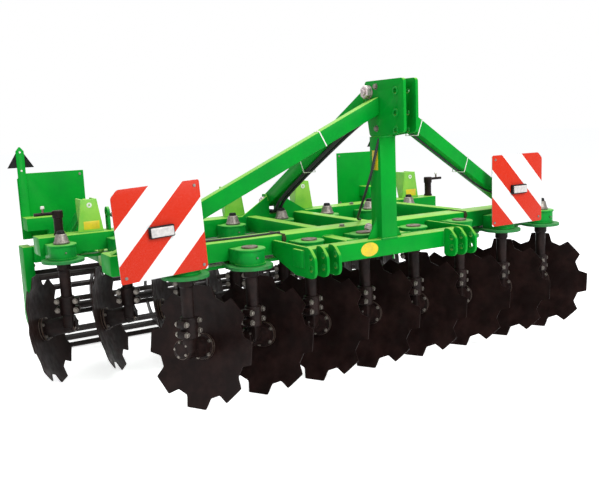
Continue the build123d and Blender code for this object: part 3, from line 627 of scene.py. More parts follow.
class Workpiece:
    """One piece of the model, put together from shapes, each with its finish."""

    shift = 0.0  # from the front leg pivots to the shared frame, in metres

    def __init__(self, name: str, body: str = "frame", slot: str = "green_paint") -> None:
        """Starts an empty piece.

        Args:
            name: the piece's name.
            body: what it moves with.
            slot: a slot name for its finish, kept on the piece but not used.
        """
        self.name, self.body, self.slot = name, body, slot
        self.mesh = bmesh.new()
        self.finishes: dict[Finish, int] = {}

    def index(self, finish: Finish) -> int:
        """The finish's place in the piece's own list, which it joins if it is new."""
        return self.finishes.setdefault(finish, len(self.finishes))

    def add(
        self, shape: Mesh, finish: Finish, place: Matrix = Matrix(), in_frame: bool = False
    ) -> None:
        """Merges a shape into the piece.

        Args:
            shape: the shape, which is used up.
            finish: its finish.
            place: from the shape's own millimetres to the machine's.
            in_frame: whether the shape is already in metres in the shared frame.
        """
        number = self.index(finish)
        for face in shape.faces:
            face.material_index = number
        if not in_frame:
            world = Matrix.Translation((0.0, self.shift, 0.0)) @ Matrix.Scale(MM, 4) @ place
            bmesh.ops.transform(shape, matrix=world, verts=shape.verts)
            if world.determinant() < 0:
                bmesh.ops.reverse_faces(shape, faces=shape.faces)
        store = bpy.data.meshes.new("store")
        shape.to_mesh(store)
        shape.free()
        self.mesh.from_mesh(store)
        bpy.data.meshes.remove(store)

    def repaint(self, chosen: Callable[[bmesh.types.BMFace], bool], finish: Finish) -> None:
        """Gives some faces another finish.

        Args:
            chosen: tells whether a face is one of them.
            finish: their finish.
        """
        number = self.index(finish)
        for face in filter(chosen, self.mesh.faces):
            face.material_index = number

    def done(self, *nodes: str) -> None:
        """Makes the object, hangs it on its body and hides the CAD nodes that it stands for.

        Args:
            nodes: the CAD nodes it stands for.
        """
        for face in self.mesh.faces:
            face.smooth = True
        for edge in self.mesh.edges:
            edge.smooth = edge.is_manifold and edge.calc_face_angle(0.0) < SMOOTH_BELOW
        data = bpy.data.meshes.new(self.name)
        self.mesh.to_mesh(data)
        count = sum(len(face.verts) - 2 for face in self.mesh.faces)
        self.mesh.free()
        for finish in self.finishes:
            data.materials.append(finish.make())
        piece = bpy.data.objects.new(self.name, data)
        bpy.context.scene.collection.objects.link(piece)
        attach(piece, self.body)
        if nodes:
            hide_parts(*nodes)
        log.info("%s on %s: %d triangles", self.name, self.body, count)


def copied(
    node: str,
    softness: Softness,
    body: str = "frame",
    finish: Finish = GREEN_ENAMEL,
    slot: str = "green_paint",
    corner: float = 0.0,
) -> Workpiece:
    """Starts a piece from a copy of a CAD node with rounded edges.

    Args:
        node: the CAD node.
        softness: radius of its edges.
        body: what it moves with.
        finish: of the copy.
        slot: a slot name, passed on to the piece but not used.
        corner: radius of the corners of upright plates.

    Returns:
        The piece.
    """
    piece = Workpiece(f"{node}_finished", body, slot)
    piece.add(of_node(node, softness, corner), finish, in_frame=True)
    return piece


class Head(Enum):
    """Distance across the flats and height of a bolt's head."""

    MAST = (38.0, 24.0)
    BEAM = (26.0, 14.0)
    CHEEK = (22.0, 12.0)
    CLAMP = (21.0, 13.0)
    DISC = (19.0, 9.0)
    ARM = (16.0, 9.0)
    FLANGE = (14.0, 10.0)
    BEARING = (13.0, 7.0)
    CAP = (11.0, 7.0)


def bolt(piece: Workpiece, place: Matrix, head: Head, finish: Finish = ZINC) -> None:
    """Adds a washer and a hexagon head on a seat, pointing along +Z of the place.

    Args:
        piece: what it is added to.
        place: the seat.
        head: its size.
        finish: of the head and washer.
    """
    across, height = head.value
    washer = across * WASHER
    piece.add(turned([(washer, -1.0), (washer, 1.8)], 16), finish, place)
    piece.add(hexagon(across, (1.0, height)), finish, place)


# ---- Frame ---------------------------------------------------------------------------
@dataclass
class FrameWork:
    """Beams, rails, headstock, mast, braces, stay and brackets, with their fasteners."""

    weldments: tuple[tuple[str, Softness, str], ...] = (
        ("front_beam", Softness.BEAM, "frame"),
        ("frame_rails", Softness.TUBE, "frame"),
        ("headstock_beam", Softness.TUBE, "frame"),
        ("side_braces", Softness.TUBE, "frame"),
        ("rear_stay", Softness.BAR, "frame"),
        ("rear_beam", Softness.BAR, "frame"),
        ("roller_brackets", Softness.PLATE, "frame"),
        ("sign_brackets", Softness.BAR, "frame"),
        ("roller_trail_arms", Softness.BAR, "roller_frame"),
        ("roller_cross_tube", Softness.BAR, "roller_frame"),
        ("front_link_bar", Softness.PLATE, "front_link_bar"),
        ("rear_link_bar", Softness.PLATE, "rear_link_bar"),
        ("depth_link_left", Softness.PLATE, "depth_link_left"),
        ("depth_link_right", Softness.PLATE, "depth_link_right"),
    )
    light_weldment: str = "roller_brackets"
    plate_x: tuple[float, ...] = (377.5, 447.5, 517.5)
    plate_half: float = 7.5
    plate_corner: float = 16
    lower_bores: tuple[Pair, ...] = ((-297, 755), (-297, 697))
    cheek_x: float = 46
    cheek_corner: float = 18
    upper_bores: tuple[Pair, ...] = ((-362, 1530), (-362, 1424), (-362, 1340))
    stay_head: Pair = (-145, 1535)
    stay_foot: Pair = (1036, 905)
    pin_radius: float = 15.6
    brace_head: Point = (0, -203, 1485)
    brace_foot: Point = (1275, 125, 820)
    headstock_y: Pair = (-235, -145)
    headstock_top: float = 785
    mast_half: float = 50
    mast_top: float = 1310
    front_beam_y: Pair = (88, 238)
    front_beam_z: Pair = (720, 820)
    rear_beam_front: float = 988
    rail_half: float = 35
    headstock_rails: Pair = (-175, 175)
    rail_x: tuple[float, ...] = (-915, -175, 175, 915)
    tower_x: tuple[float, ...] = (-1190, -260, 260, 1190)
    tower_y: float = 1052
    strap_x: Pair = (-452, 830)
    film: Pair = (-0.5, 0.7)  # a sticker's back, sunk in its seat, and its face
    oval: Pair = (54, 36)
    square: Pair = (46, 24)
    upright: Pair = (24, 50)
    # Each tie: side of the brace, or 0 for the stay, share of its length, and what hangs below.
    ties: tuple[Point, ...] = ((-1, 0.26, 0), (1, 0.2, 12), (1, 0.54, 12), (0, 0.6, 21))

    def build(self) -> None:
        """Builds every piece of the frame."""
        for name, softness, body in self.weldments:
            light = name == self.light_weldment
            dress = (LIGHT_ENAMEL, "light_green_paint") if light else ()
            copied(name, softness, body, *dress).done(name)
        self.hitch_plates()
        copied("mast_post", Softness.BAR).done("mast_post")
        self.mast_head()
        self.pins()
        self.beads()
        self.labels()
        self.fasteners()

    def hitch_plates(self) -> None:
        """Lower-link plates with a hardened bush round each bore."""
        piece = copied("hitch_plates", Softness.PLATE, corner=self.plate_corner)
        bush = [(14.7, -0.5), (19, -0.5), (19, 1.2), (18, 2), (14.7, 2)]
        for side, x, (y, z), hand in product(SIDES, self.plate_x, self.lower_bores, SIDES):
            place = sideways(hand, side * x + hand * self.plate_half, y, z)
            piece.add(turned(bush, 24, ring=True), CAST_GREEN, place)
        piece.done("hitch_plates")

    def mast_head(self) -> None:
        """The mast's two cheeks with a bush round each top-link bore."""
        piece = copied("mast_head", Softness.PLATE, corner=self.cheek_corner)
        bush = [(13.2, -0.5), (21, -0.5), (21, 2.6), (19.5, 3.4), (13.2, 3.4)]
        for (y, z), side in product(self.upper_bores, SIDES):
            place = sideways(side, side * self.cheek_x, y, z)
            piece.add(turned(bush, 28, ring=True), CAST_GREEN, place)
        piece.done("mast_head")

    def pins(self) -> None:
        """The two pins of the stay, with hexagon heads and collars."""
        piece = Workpiece("frame_pins_finished", slot="bare_steel")
        # Place, reach of the seats from the middle, and the heads' flats and thickness.
        sizes = ((self.stay_head, 46, 60, 34), (self.stay_foot, 52.3, 46, 22))
        for (y, z), reach, across, thick in sizes:
            end = reach + thick + 8
            shank = rod(self.pin_radius, (-end, end), 24)
            piece.add(shank, PIN_STEEL, about(0, y, z) @ ALONG_X)
            for side in SIDES:
                seat = sideways(side, side * reach, y, z)
                edge = across / 2 + 4
                piece.add(turned([(edge, 0), (edge, 4)], 28), PIN_STEEL, seat)
                piece.add(hexagon(across, (4, thick)), PIN_STEEL, seat)
        piece.done("frame_pins")

    def beads(self) -> None:
        """Weld beads where tubes and plates meet: 5 mm on tubes, 4 mm on plates."""
        half, rail, top = self.mast_half, self.rail_half, self.headstock_top
        front, rear = self.headstock_y
        beam, behind = self.front_beam_y
        ring = [(-half, front), (half, front), (half, rear), (-half, rear), (-half, front)]
        runs = [[(x, y, top) for x, y in ring], [(x, y, self.mast_top) for x, y in ring[:2]]]
        for x in self.headstock_rails:
            for edge, (y, low) in product((x - rail, x + rail), ((beam, 720), (rear, 700))):
                runs.append([(edge, y, low), (edge, y, top)])
            runs += [[(x - rail, y, top), (x + rail, y, top)] for y in (beam, rear)]
        low, high = self.front_beam_z
        for x, edge, y in product(self.rail_x, (-rail, rail), (behind, self.rear_beam_front)):
            runs.append([(x + edge, y, low + 4), (x + edge, y, high - 4)])
        fine = []
        edges = (-self.plate_half, self.plate_half)
        for side, x, edge in product(SIDES, self.plate_x, edges):
            place = side * x + edge
            fine.append([(place, front, 780), (place, front, 700)])
        for x in self.tower_x:
            foot = (self.tower_y, high)
            fine.append([(x - 72, *foot), (x + 72, *foot)])
        piece = Workpiece("weld_beads")
        for radius, group in ((5, runs), (4, fine)):
            for points in group:
                for start, end in zip(points, points[1:]):
                    place, length = between(start, end)
                    piece.add(rod(radius, (0, length), 10, 2.5), CAST_GREEN, place)
        piece.done()

    def labels(self) -> None:
        """Blank stickers: an oval on the headstock, two on towers and one on the mast."""
        piece = Workpiece("blank_stickers")
        steps = [math.tau * i / 40 for i in range(40)]
        outline = [(self.oval[0] * math.cos(a), self.oval[1] * math.sin(a)) for a in steps]
        place = about(-132, self.headstock_y[0], 741) @ FORWARDS
        piece.add(prism(outline, self.film), YELLOW_FILM, place)
        half, rise = self.square
        for x in (self.tower_x[0], self.tower_x[-1]):
            place = about(x + 6, self.tower_y, 858) @ FORWARDS
            square = block((-half, half), (-rise, rise), self.film, 0.2)
            piece.add(square, YELLOW_FILM, place)
        half, rise = self.upright
        place = sideways(-1, -self.mast_half, -190, 1190) @ turn(90, "Z")
        piece.add(block((-half, half), (-rise, rise), self.film, 0.2), YELLOW_FILM, place)
        piece.done()

    def fasteners(self) -> None:
        """Bolts on the beams, rings on the towers, ties on the braces and straps."""
        piece = Workpiece("frame_fasteners", slot="bare_steel")
        for x, y in ((-60, 120), (-640, 1030), (640, 1030)):
            bolt(piece, about(x, y, self.front_beam_z[1]), Head.BEAM)
        bolt(piece, about(97, self.front_beam_y[0], 799) @ FORWARDS, Head.MAST, PIN_STEEL)
        for side, z in product(SIDES, (1350, 1560)):
            bolt(piece, sideways(side, side * self.cheek_x, -205, z), Head.CHEEK)
        for x in self.tower_x:
            place = about(x, self.tower_y, 975) @ FORWARDS
            piece.add(band((6, 15), (-1, 2), 20), WHITE_NYLON, place)
        stay = (Vector((0, *self.stay_head)), Vector((0, *self.stay_foot)))
        brace = (Vector(self.brace_head), Vector(self.brace_foot))
        for side, share, hang in self.ties:
            head, foot = brace if side else stay
            run = foot - head
            run.x *= side
            along, level = run.normalized(), Vector((-run.y, run.x, 0)).normalized()
            axes = Matrix((level, along.cross(level), along)).transposed().to_4x4()
            self.tie(piece, about(*(head + run * share)) @ axes, hang)
        for x in self.strap_x:
            self.strap(piece, x)
        piece.done()

    @staticmethod
    def tie(piece: Workpiece, place: Matrix, hang: float) -> None:
        """Adds a nylon tie round an 80 mm square tube and what runs below it.

        Args:
            piece: what it is added to.
            place: the tube's own axes, Z along it and Y up.
            hang: depth of what runs below the tube.
        """
        outer, inner = 41.6, 39.6
        low, across = -outer - hang, (-outer, outer)
        top, bottom = (across, (inner, outer)), (across, (low, low + 2))
        left, right = ((-outer, -inner), (low, outer)), ((inner, outer), (low, outer))
        for x, y in (top, bottom, left, right):
            piece.add(block(x, y, (-3, 3), 0.4), WHITE_NYLON, place)
        lock = block((8, 17), (outer - 1, outer + 4), (-4, 4), 0.8)
        piece.add(lock, WHITE_NYLON, place)

    def strap(self, piece: Workpiece, x: float) -> None:
        """Adds a rubber strap round the front beam, pulled into a fold in front.

        Args:
            piece: what it is added to.
            x: where it goes round.
        """
        (front, rear), (low, high) = self.front_beam_y, self.front_beam_z
        thick, sunk = 4, 0.2
        upright, flat = (low - thick, high + thick), (front, rear)
        sides = (
            ((front - thick, front + sunk), upright),
            ((rear - sunk, rear + thick), upright),
            (flat, (low - thick, low + sunk)),
            (flat, (high - sunk, high + thick)),
        )
        for y, z in sides:
            piece.add(block((x - 9, x + 9), y, z, 1.5), STRAP_RUBBER)
        fold = block((x - 12, x + 12), (front - 9, front), (high - 34, high - 6), thick)
        piece.add(fold, STRAP_RUBBER)


# ---- Rows of discs -------------------------------------------------------------------
HUB_BOLTS = [turn(72 * i + 18, "Z") for i in range(5)]


class Crown(Enum):
    """What holds a leg's post in its boss from above."""

    NUT = "nut"
    WASHER = "washer"


@dataclass
class Leg:
    """A swivelling leg: its black forging, its green lever and its bright fasteners."""

    body: str
    place: Matrix
    hub: Matrix
    crown: Crown
    crown_z: float = 790.5
    post_radius: float = 31
    lever_turn: float = -20
    flange_z: Pair = (689.5, 705.5)
    flange_radius: float = 115
    lever_reach: float = 190
    lever_end: float = 30

    def build(self) -> None:
        """Builds the leg's three pieces."""
        self.shank()
        self.lever()
        self.fasteners()

    def shank(self) -> None:
        """Post, split clamp, cranked foot and hub."""
        piece = Workpiece(f"{self.body}_shank", self.body, "leg_black")
        radius, place = self.post_radius, self.place
        post = [
            (radius, 480), (radius, 640), (radius + 7, 648), (radius + 7, 690), (radius, 692),
            (radius, 789), (radius - 3, 792),
        ]
        clamp = [(40, 392), (42, 394), (42, 490), (39, 494)]
        for profile in (post, clamp):
            piece.add(turned(profile), OIL_BLACK, place)
        for side, z in product(SIDES, ((400, 436), (450, 486))):
            ear = block((30, 62), (-24, 24), z, 5)
            piece.add(ear, OIL_BLACK, place @ turn(90 - 90 * side, "Z"))
        foot = [(-27, -25), (27, -25), (27, 25), (-27, 25)]
        piece.add(prism(foot, (322, 400), 6), OIL_BLACK, place)
        knee = block((-24, 26), (-20, 34), (312, 350), 8)
        piece.add(knee, OIL_BLACK, place)
        barrel = [
            (30, -152), (38, -146), (46, -145), (47, -142), (47, -130), (51.5, -128), (52, -94),
            (49, -90), (49, -20), (52, -14), (52, 18.5), (64, 20.5), (65.5, 22.5), (65.5, 31.5),
            (60, 33.5), (60, 36.5), (65.5, 38.5), (65.5, 44.5),
        ]
        piece.add(turned(barrel, 40), OIL_BLACK, self.hub)
        piece.done(self.body)

    def lever(self) -> None:
        """Thrust flange with its lever, a bushing and the link pin."""
        piece = Workpiece(f"{self.body}_lever", self.body)
        place = self.place @ turn(self.lever_turn, "Z")
        radius, reach, end = self.flange_radius, self.lever_reach, self.lever_end
        lean = math.asin((radius - end) / reach)
        big = [math.pi - lean + (math.pi + 2 * lean) * i / 48 for i in range(49)]
        small = [lean + (math.pi - 2 * lean) * i / 16 for i in range(17)]
        outline = [(radius * math.cos(a), radius * math.sin(a)) for a in big]
        outline += [(end * math.cos(a), reach + end * math.sin(a)) for a in small]
        # The flange and lever take the darker green: painted shade under the boss.
        piece.add(prism(outline, self.flange_z, 2), SHADED_ENAMEL, place)
        pin = place @ about(0, reach)
        piece.add(rod(12, (660, self.flange_z[0] + 2)), BRONZE, pin)
        collar = [(20, 704), (20, 711), (18, 713)]
        piece.add(turned(collar, 24), BRONZE, pin)
        below = pin @ about(0, 0, 672) @ OVER
        piece.add(hexagon(34, (0, 11)), OIL_BLACK, below)
        piece.done()

    def fasteners(self) -> None:
        """Crown nut or washer, clamp bolts, the hub's bolts, and bare-steel rings on the hub's
        rims as painted highlights.
        """
        piece = Workpiece(f"{self.body}_fasteners", self.body, "bare_steel")
        place, hub = self.place, self.hub
        seat = place @ about(0, 0, self.crown_z)
        if self.crown is Crown.NUT:
            nut = [
                (41, 0), (44.5, 3), (44.5, 10), (41, 13), (39, 16), (30.5, 48), (29.5, 52),
                (26, 55),
            ]
            piece.add(turned(nut, 40), ZINC, seat)
            cap = [(22, 54), (22, 66), (18, 72.5)]
            piece.add(turned(cap, 28), HOUSING, seat)
        else:
            washer = [(41.5, 0), (41.5, 6.5), (40, 8), (14, 8), (12, 6.5)]
            piece.add(turned(washer, 40), BARE_STEEL, seat)
        for side, z, face in product(SIDES, (418, 468), SIDES):
            seat = about(side * 51, face * 24, z) @ turn(-90 * face, "X")
            bolt(piece, place @ seat, Head.CLAMP)
        for angle in HUB_BOLTS:
            bolt(piece, hub @ angle @ about(57.5, 0, 20.5) @ OVER, Head.FLANGE)
            bolt(piece, hub @ angle @ about(37, 0, -145) @ OVER, Head.CAP)
        # Thin bare-steel rings on the hub's rims: painted highlights where the rims catch the
        # light.
        for z in ((22.5, 30.5), (38.5, 43.5)):
            piece.add(band((64, 65.9), z, 40), BARE_STEEL, hub)
        piece.add(band((45, 47.4), (-143.5, -141), 36), BARE_STEEL, hub)
        piece.done()


@dataclass
class Disc:
    """A notched disc, dished by turning and cut to its teeth at the rim."""

    row: str
    number: int
    hub: Matrix
    radius: float = 310
    tooth_radius: float = 313.5
    notch_from: float = 225
    notch_floor: float = 262
    notch_half_angle: float = 6.5
    notch_pitch: float = 45
    flank: Pair = (171.96, 0.7708)  # a notch's side, x out along its middle: y = 0.7708 x - 171.96
    thickness: float = 6
    flat_radius: float = 75
    dish_depth: float = 45
    dish_bend: float = 2010

    def rim(self, angle: float) -> float:
        """Radius of the disc's edge.

        Args:
            angle: round the disc, in degrees from the middle of a tooth.

        Returns:
            The radius.
        """
        half = self.notch_pitch / 2
        off_notch = abs(angle % self.notch_pitch - half)
        x = self.notch_floor
        if off_notch > self.notch_half_angle:
            offset, steepness = self.flank
            x = offset / (steepness - math.tan(math.radians(off_notch)))
        notch = x / math.cos(math.radians(off_notch))
        tooth = self.radius / math.cos(math.radians(half - off_notch))
        return min(notch, tooth, self.tooth_radius)

    def dish(self, radius: float) -> float:
        """Depth of the dish at a radius."""
        beyond = max(radius**2 - self.flat_radius**2, 0)
        return self.dish_depth - beyond / self.dish_bend

    def blade(self) -> Mesh:
        """The disc itself, in its hub's axes.

        Returns:
            The shape.
        """
        near = self.notch_from
        radii = [40, self.flat_radius, 110, 150, 190, near, 250, 280, self.radius]
        sides = [(r, 0) for r in radii] + [(r, self.thickness) for r in reversed(radii)]
        shape = turned(sides, 240)
        for vert in shape.verts:
            radius = math.hypot(vert.co.x, vert.co.y)
            angle = math.degrees(math.atan2(vert.co.y, vert.co.x))
            if radius > near:
                share = (radius - near) / (self.radius - near)
                wanted = near + share * (self.rim(angle) - near)
                vert.co.x *= wanted / radius
                vert.co.y *= wanted / radius
                radius = wanted
            vert.co.z += self.dish(radius)
        return shape

    def build(self) -> None:
        """Builds the disc with its bolts."""
        middle = self.hub.to_translation() * MM + Vector((0, Workpiece.shift, 0))
        turned_to = tuple(self.hub.to_euler())
        name = f"disc_steel_{self.row}_{self.number}"
        steel = RingedSteel(name, centre=tuple(middle), turned_to=turned_to)
        body = f"{self.row}_disc_{self.number}"
        piece = Workpiece(f"{body}_finished", body, "disc_steel")
        piece.add(self.blade(), steel, self.hub)
        for angle in HUB_BOLTS:
            bolt(piece, self.hub @ angle @ about(50, 0, 51), Head.DISC, OIL_BLACK)
        piece.done(body)


@dataclass
class DiscRow:
    """A row's bosses, legs and discs, with the hubs at a place on their legs."""

    name: str
    hand: int
    y: float
    pitch: float = 350
    legs: int = 8
    disc_angle: float = 30
    tilt: float = 10
    hub: Point = (118, 36, 306.33)
    bore: float = 32
    boss_radius: float = 74
    boss_z: Pair = (706, 790)

    def pivots(self) -> list[float]:
        """X of the leg pivots from left to right."""
        first = -(self.legs - 1) / 2 * self.pitch + self.hand * self.pitch / 2
        return [first + i * self.pitch for i in range(self.legs)]

    def build(self) -> None:
        """Builds the row."""
        self.bosses()
        mirrored = MIRRORED if self.hand < 0 else Matrix()
        hub_axes = about(*self.hub) @ turn(90 + self.tilt, "Y")
        for number, x in enumerate(self.pivots(), start=1):
            place = about(x, self.y) @ mirrored @ turn(self.disc_angle, "Z")
            nutted = self.name == "rear" or number == self.legs
            crown = Crown.NUT if nutted else Crown.WASHER
            Leg(f"{self.name}_leg_{number}", place, place @ hub_axes, crown).build()
            Disc(self.name, number, place @ hub_axes).build()

    def bosses(self) -> None:
        """Cast bearing bosses, each with a turned lip and foot and a grease nipple."""
        piece = Workpiece(f"{self.name}_bosses_finished")
        radius, bore, (low, high) = self.boss_radius, self.bore, self.boss_z
        arc = [math.pi + math.pi * i / 32 for i in range(33)]
        outline = [(radius * math.cos(a), radius * math.sin(a)) for a in arc]
        outline += [(radius, BEAM_SETBACK - 0.5), (-radius, BEAM_SETBACK - 0.5)]
        lip = [
            (bore, high - 11), (radius + 4, high - 11), (radius + 6, high - 9),
            (radius + 6, high - 3), (radius + 3, high), (bore + 2, high),
        ]
        foot = [
            (bore, low), (radius + 2, low), (radius + 4, low + 2), (radius + 4, low + 9),
            (bore, low + 9),
        ]
        for x in self.pivots():
            place = about(x, self.y)
            piece.add(prism(outline, (low + 1, high - 4), 3), CAST_GREEN, place)
            for profile in (lip, foot):
                piece.add(turned(profile, 48, ring=True), CAST_GREEN, place)
            nipple = about(0, -radius, 748) @ FORWARDS
            piece.add(rod(4, (0, 12), 10), ZINC, place @ nipple)
        piece.done(f"{self.name}_bosses")


# ---- Roller --------------------------------------------------------------------------
@dataclass
class CageRoller:
    """Roller cage with square bars on spoked rings, and the arms that carry it."""

    ring_radii: Pair = (198, 240)
    axle: Pair = (1700, 255.2)
    ring_x: float = 1390
    rings: int = 8
    ring_half: float = 5
    shaft_radius: float = 25
    arm_x: float = 1440
    arm_half: float = 30
    arm_bolts: tuple[Pair, ...] = ((-45, 565), (45, 565), (-45, 660), (45, 660))

    def build(self) -> None:
        """Builds the cage and its arms."""
        bars = copied("roller_bars", Softness.BAR, "roller_cage", ROLLER_BLACK, "roller_black")
        bars.done("roller_bars")
        self.core()
        self.arms()

    def core(self) -> None:
        """Rings with crossed spokes, and the shaft through them."""
        piece = Workpiece("roller_rings_finished", "roller_cage", "roller_black")
        axle, half = about(0, *self.axle) @ ALONG_X, self.ring_half
        reach = self.ring_radii[0] + 5
        hub = [(42, -half - 6), (60, -half), (60, half), (42, half + 6)]
        for i in range(self.rings):
            x = -self.ring_x + i * 2 * self.ring_x / (self.rings - 1)
            place = axle @ about(0, 0, x)
            piece.add(band(self.ring_radii, (-half, half), 64), ROLLER_BLACK, place)
            for quarter in (0, 90):
                thick = (-half + 0.2, half - 0.2)
                spoke = block((-reach, reach), (-17, 17), thick, 1)
                piece.add(spoke, ROLLER_BLACK, place @ turn(quarter, "Z"))
            piece.add(turned(hub), ROLLER_BLACK, place)
        shaft = rod(self.shaft_radius, (-self.arm_x, self.arm_x), 28, 2)
        piece.add(shaft, ROLLER_BLACK, axle)
        piece.done("roller_rings")

    def arms(self) -> None:
        """Side arms with flanged bearings and their bolts."""
        piece = copied("roller_side_arms", Softness.ARM, "roller_frame")
        flange = [(27, -1), (62, -1), (62, 7), (58, 9), (27, 9)]
        for side in SIDES:
            outside = sideways(side, side * (self.arm_x + self.arm_half), *self.axle)
            piece.add(turned([(60, -6), (60, -0.6)], 40), OIL_BLACK, outside)
            face = side * (self.arm_x - self.arm_half)
            inside = sideways(-side, face, *self.axle)
            piece.add(turned(flange, 40, ring=True), OIL_BLACK, inside)
            for i in range(4):
                seat = inside @ turn(90 * i + 45, "Z") @ about(48, 0, 8.5)
                bolt(piece, seat, Head.BEARING)
            for y, z in self.arm_bolts:
                bolt(piece, sideways(-side, face, self.axle[0] + y, z), Head.ARM)
        piece.done("roller_side_arms")


# ---- Warning plates ------------------------------------------------------------------
@dataclass
class FrontSign:
    """A front warning plate with its side lamp."""

    hand: int
    x: float
    z: float
    lean: float
    size: float = 423
    cut: float = 34
    corner: float = 9
    back_y: float = -88
    sheet: float = 4
    lamp: Point = (60, 27.5, 30)

    def place(self) -> Matrix:
        """From the plate's own face, +Z forwards, to the machine."""
        return about(self.hand * self.x, self.back_y, self.z) @ turn(self.lean, "Y") @ FORWARDS

    def plate(self) -> Mesh:
        """The sheet, its outer top corner cut and its corners rounded.

        Returns:
            The shape.
        """
        half, inset = self.size / 2, self.size / 2 - self.cut
        corners = ((-half, -half), (half, -half), (half, inset), (inset, half), (-half, half))
        shape = prism([(self.hand * x, y) for x, y in corners], (0, self.sheet))
        rises = [(e, abs(e.verts[0].co.z - e.verts[1].co.z)) for e in shape.edges]
        upright = [e for e, rise in rises if rise > self.sheet / 2]
        bevel(shape, upright, self.corner, 5)
        return rounded(shape, 0.5, 60)

    def build(self) -> None:
        """Builds the plate, with its film and small bolts."""
        name = "left" if self.hand < 0 else "right"
        piece = Workpiece(f"front_sign_{name}", slot="red_and_white")
        piece.add(self.plate(), ALUMINIUM, self.place())
        film = HatchedFilm(
            f"hatched_warning_film_{name}",
            centre=(self.hand * self.x, self.z),
            slant=-self.hand,
            lean=self.lean,
        )
        limit = Workpiece.shift + (self.back_y - self.sheet + 1) * MM
        piece.repaint(lambda f: f.normal.y < -0.7 and f.calc_center_median().y < limit, film)
        reach = self.size / 2 - 26
        for x, y in ((-reach, reach), (reach, -reach), (-reach - 6, -reach - 4)):
            head = turned([(8, 3.5), (7, 7), (0, 8)], 16)
            piece.add(head, ZINC, self.place() @ about(self.hand * x, y))
        piece.done("front_signs")

    def light(self, piece: Workpiece) -> None:
        """Adds the plate's lamp: a black housing with a ribbed lens.

        Args:
            piece: what it is added to.
        """
        half, rise, depth = self.lamp
        place = self.place() @ about(0, 0, self.sheet)
        case = block((-half, half), (-rise, rise), (0, depth - 8), 5)
        piece.add(case, HOUSING, place)
        half, rise = half - 6, rise - 6
        lens = block((-half, half), (-rise, rise), (depth - 12, depth), 4)
        piece.add(lens, LENS, place)
        screw = [(4, depth - 1), (3.4, depth - 0.1), (0, depth)]
        for x in (8 - half, half - 8):
            piece.add(turned(screw, 12), ZINC, place @ about(x, 0))


@dataclass
class SignSet:
    """Front warning plates and lamps, and the rear boards."""

    fronts: tuple[FrontSign, ...] = (
        FrontSign(-1, 1190, 935, -3),
        FrontSign(1, 1090, 950, 0),
    )
    board: Point = (1227, 1760, 936.5)
    size: float = 423
    post_x: float = 1407
    post_tip: float = 26
    post_blunt: float = 0.15
    reflector: Pair = (1196, 1296)
    reflector_rim: float = 11.5

    def build(self) -> None:
        """Builds the plates, lamps and boards."""
        lamps = Workpiece("sign_lamps_finished", slot="lamp_lens")
        for sign in self.fronts:
            sign.build()
            sign.light(lamps)
        lamps.done("sign_lamps")
        self.boards()

    def boards(self) -> None:
        """Rear boards: green posts, a green plate front, hatched backs and reflectors."""
        piece = copied("rear_boards", Softness.SHEET, "roller_frame")
        self.point_posts(piece)
        for side in SIDES:
            self.paint(piece, side)
        rear = Workpiece.shift + (self.board[1] - 0.2) * MM
        low = (self.reflector[0] - self.reflector_rim) * MM

        def on_reflector(face: bmesh.types.BMFace) -> bool:
            """Whether a face is on a reflector's housing."""
            middle = face.calc_center_median()
            return middle.z > low and middle.y > rear

        piece.repaint(on_reflector, HOUSING)
        for side in SIDES:
            self.trim(piece, side)
        piece.done("rear_boards")

    def paint(self, piece: Workpiece, side: int) -> None:
        """Gives a board's back its warning film.

        Args:
            piece: the boards.
            side: -1 for the left one, 1 for the right one.
        """
        x, y, z = self.board
        film = HatchedFilm(
            f"hatched_rear_film_{'left' if side < 0 else 'right'}",
            centre=(side * x, z),
            slant=-side,
        )
        rear, high = Workpiece.shift + (y + 3) * MM, (z + self.size / 2 + 2) * MM

        def on_plate(face: bmesh.types.BMFace) -> bool:
            """Tells whether a face is the back of this side's board.

            Args:
                face: of the boards.

            Returns:
                Whether it is.
            """
            middle = face.calc_center_median()
            facing = face.normal.y > 0.7 and middle.x * side > 0
            return facing and middle.y > rear and middle.z < high

        piece.repaint(on_plate, film)

    def trim(self, piece: Workpiece, side: int) -> None:
        """Adds a board's bolts, its post's screws and the red face of its reflector.

        Args:
            piece: the boards.
            side: -1 for the left one, 1 for the right one.
        """
        board_x, y, board_z = self.board
        reach = self.size / 2 - 24
        spots = ((-reach, reach), (reach, -reach), (-reach, -reach), (reach, reach - 34))
        for x, z in spots:
            head = turned([(9, -1), (8, 3), (0, 4)], 16)
            piece.add(head, ZINC, about(side * (board_x + x), y, board_z + z) @ FORWARDS)
        for z in (1166, 1283):
            head = turned([(7, -1), (6, 3), (0, 3.5)], 16)
            piece.add(head, WHITE_NYLON, about(side * self.post_x, y - 8, z) @ FORWARDS)
        low, high = self.reflector
        outline = [(-62, -low), (62, -low), (0, -high)]
        face = prism(outline, (7, 10.5), 1.2)
        piece.add(face, RED_REFLEX, about(side * self.post_x, y) @ ALONG_Y)

    def point_posts(self, piece: Workpiece) -> None:
        """Draws the tops of the reflectors' posts in, so that they end in a blunt point.

        Args:
            piece: the boards, with the posts in it.
        """
        top = max(v.co.z for v in piece.mesh.verts)
        start, centre = top - self.post_tip * MM, self.post_x * MM
        faces = {f for v in piece.mesh.verts if v.co.z > start - 0.3 for f in v.link_faces}
        edges = {e for f in faces for e in f.edges}
        verts = {v for f in faces for v in f.verts}
        bmesh.ops.bisect_plane(
            piece.mesh,
            geom=[*verts, *edges, *faces],
            plane_co=(0, 0, start),
            plane_no=(0, 0, 1),
        )
        for vert in piece.mesh.verts:
            if vert.co.z > start:
                side = math.copysign(centre, vert.co.x)
                share = 1 - (1 - self.post_blunt) * (vert.co.z - start) / (top - start)
                vert.co.x = side + (vert.co.x - side) * share


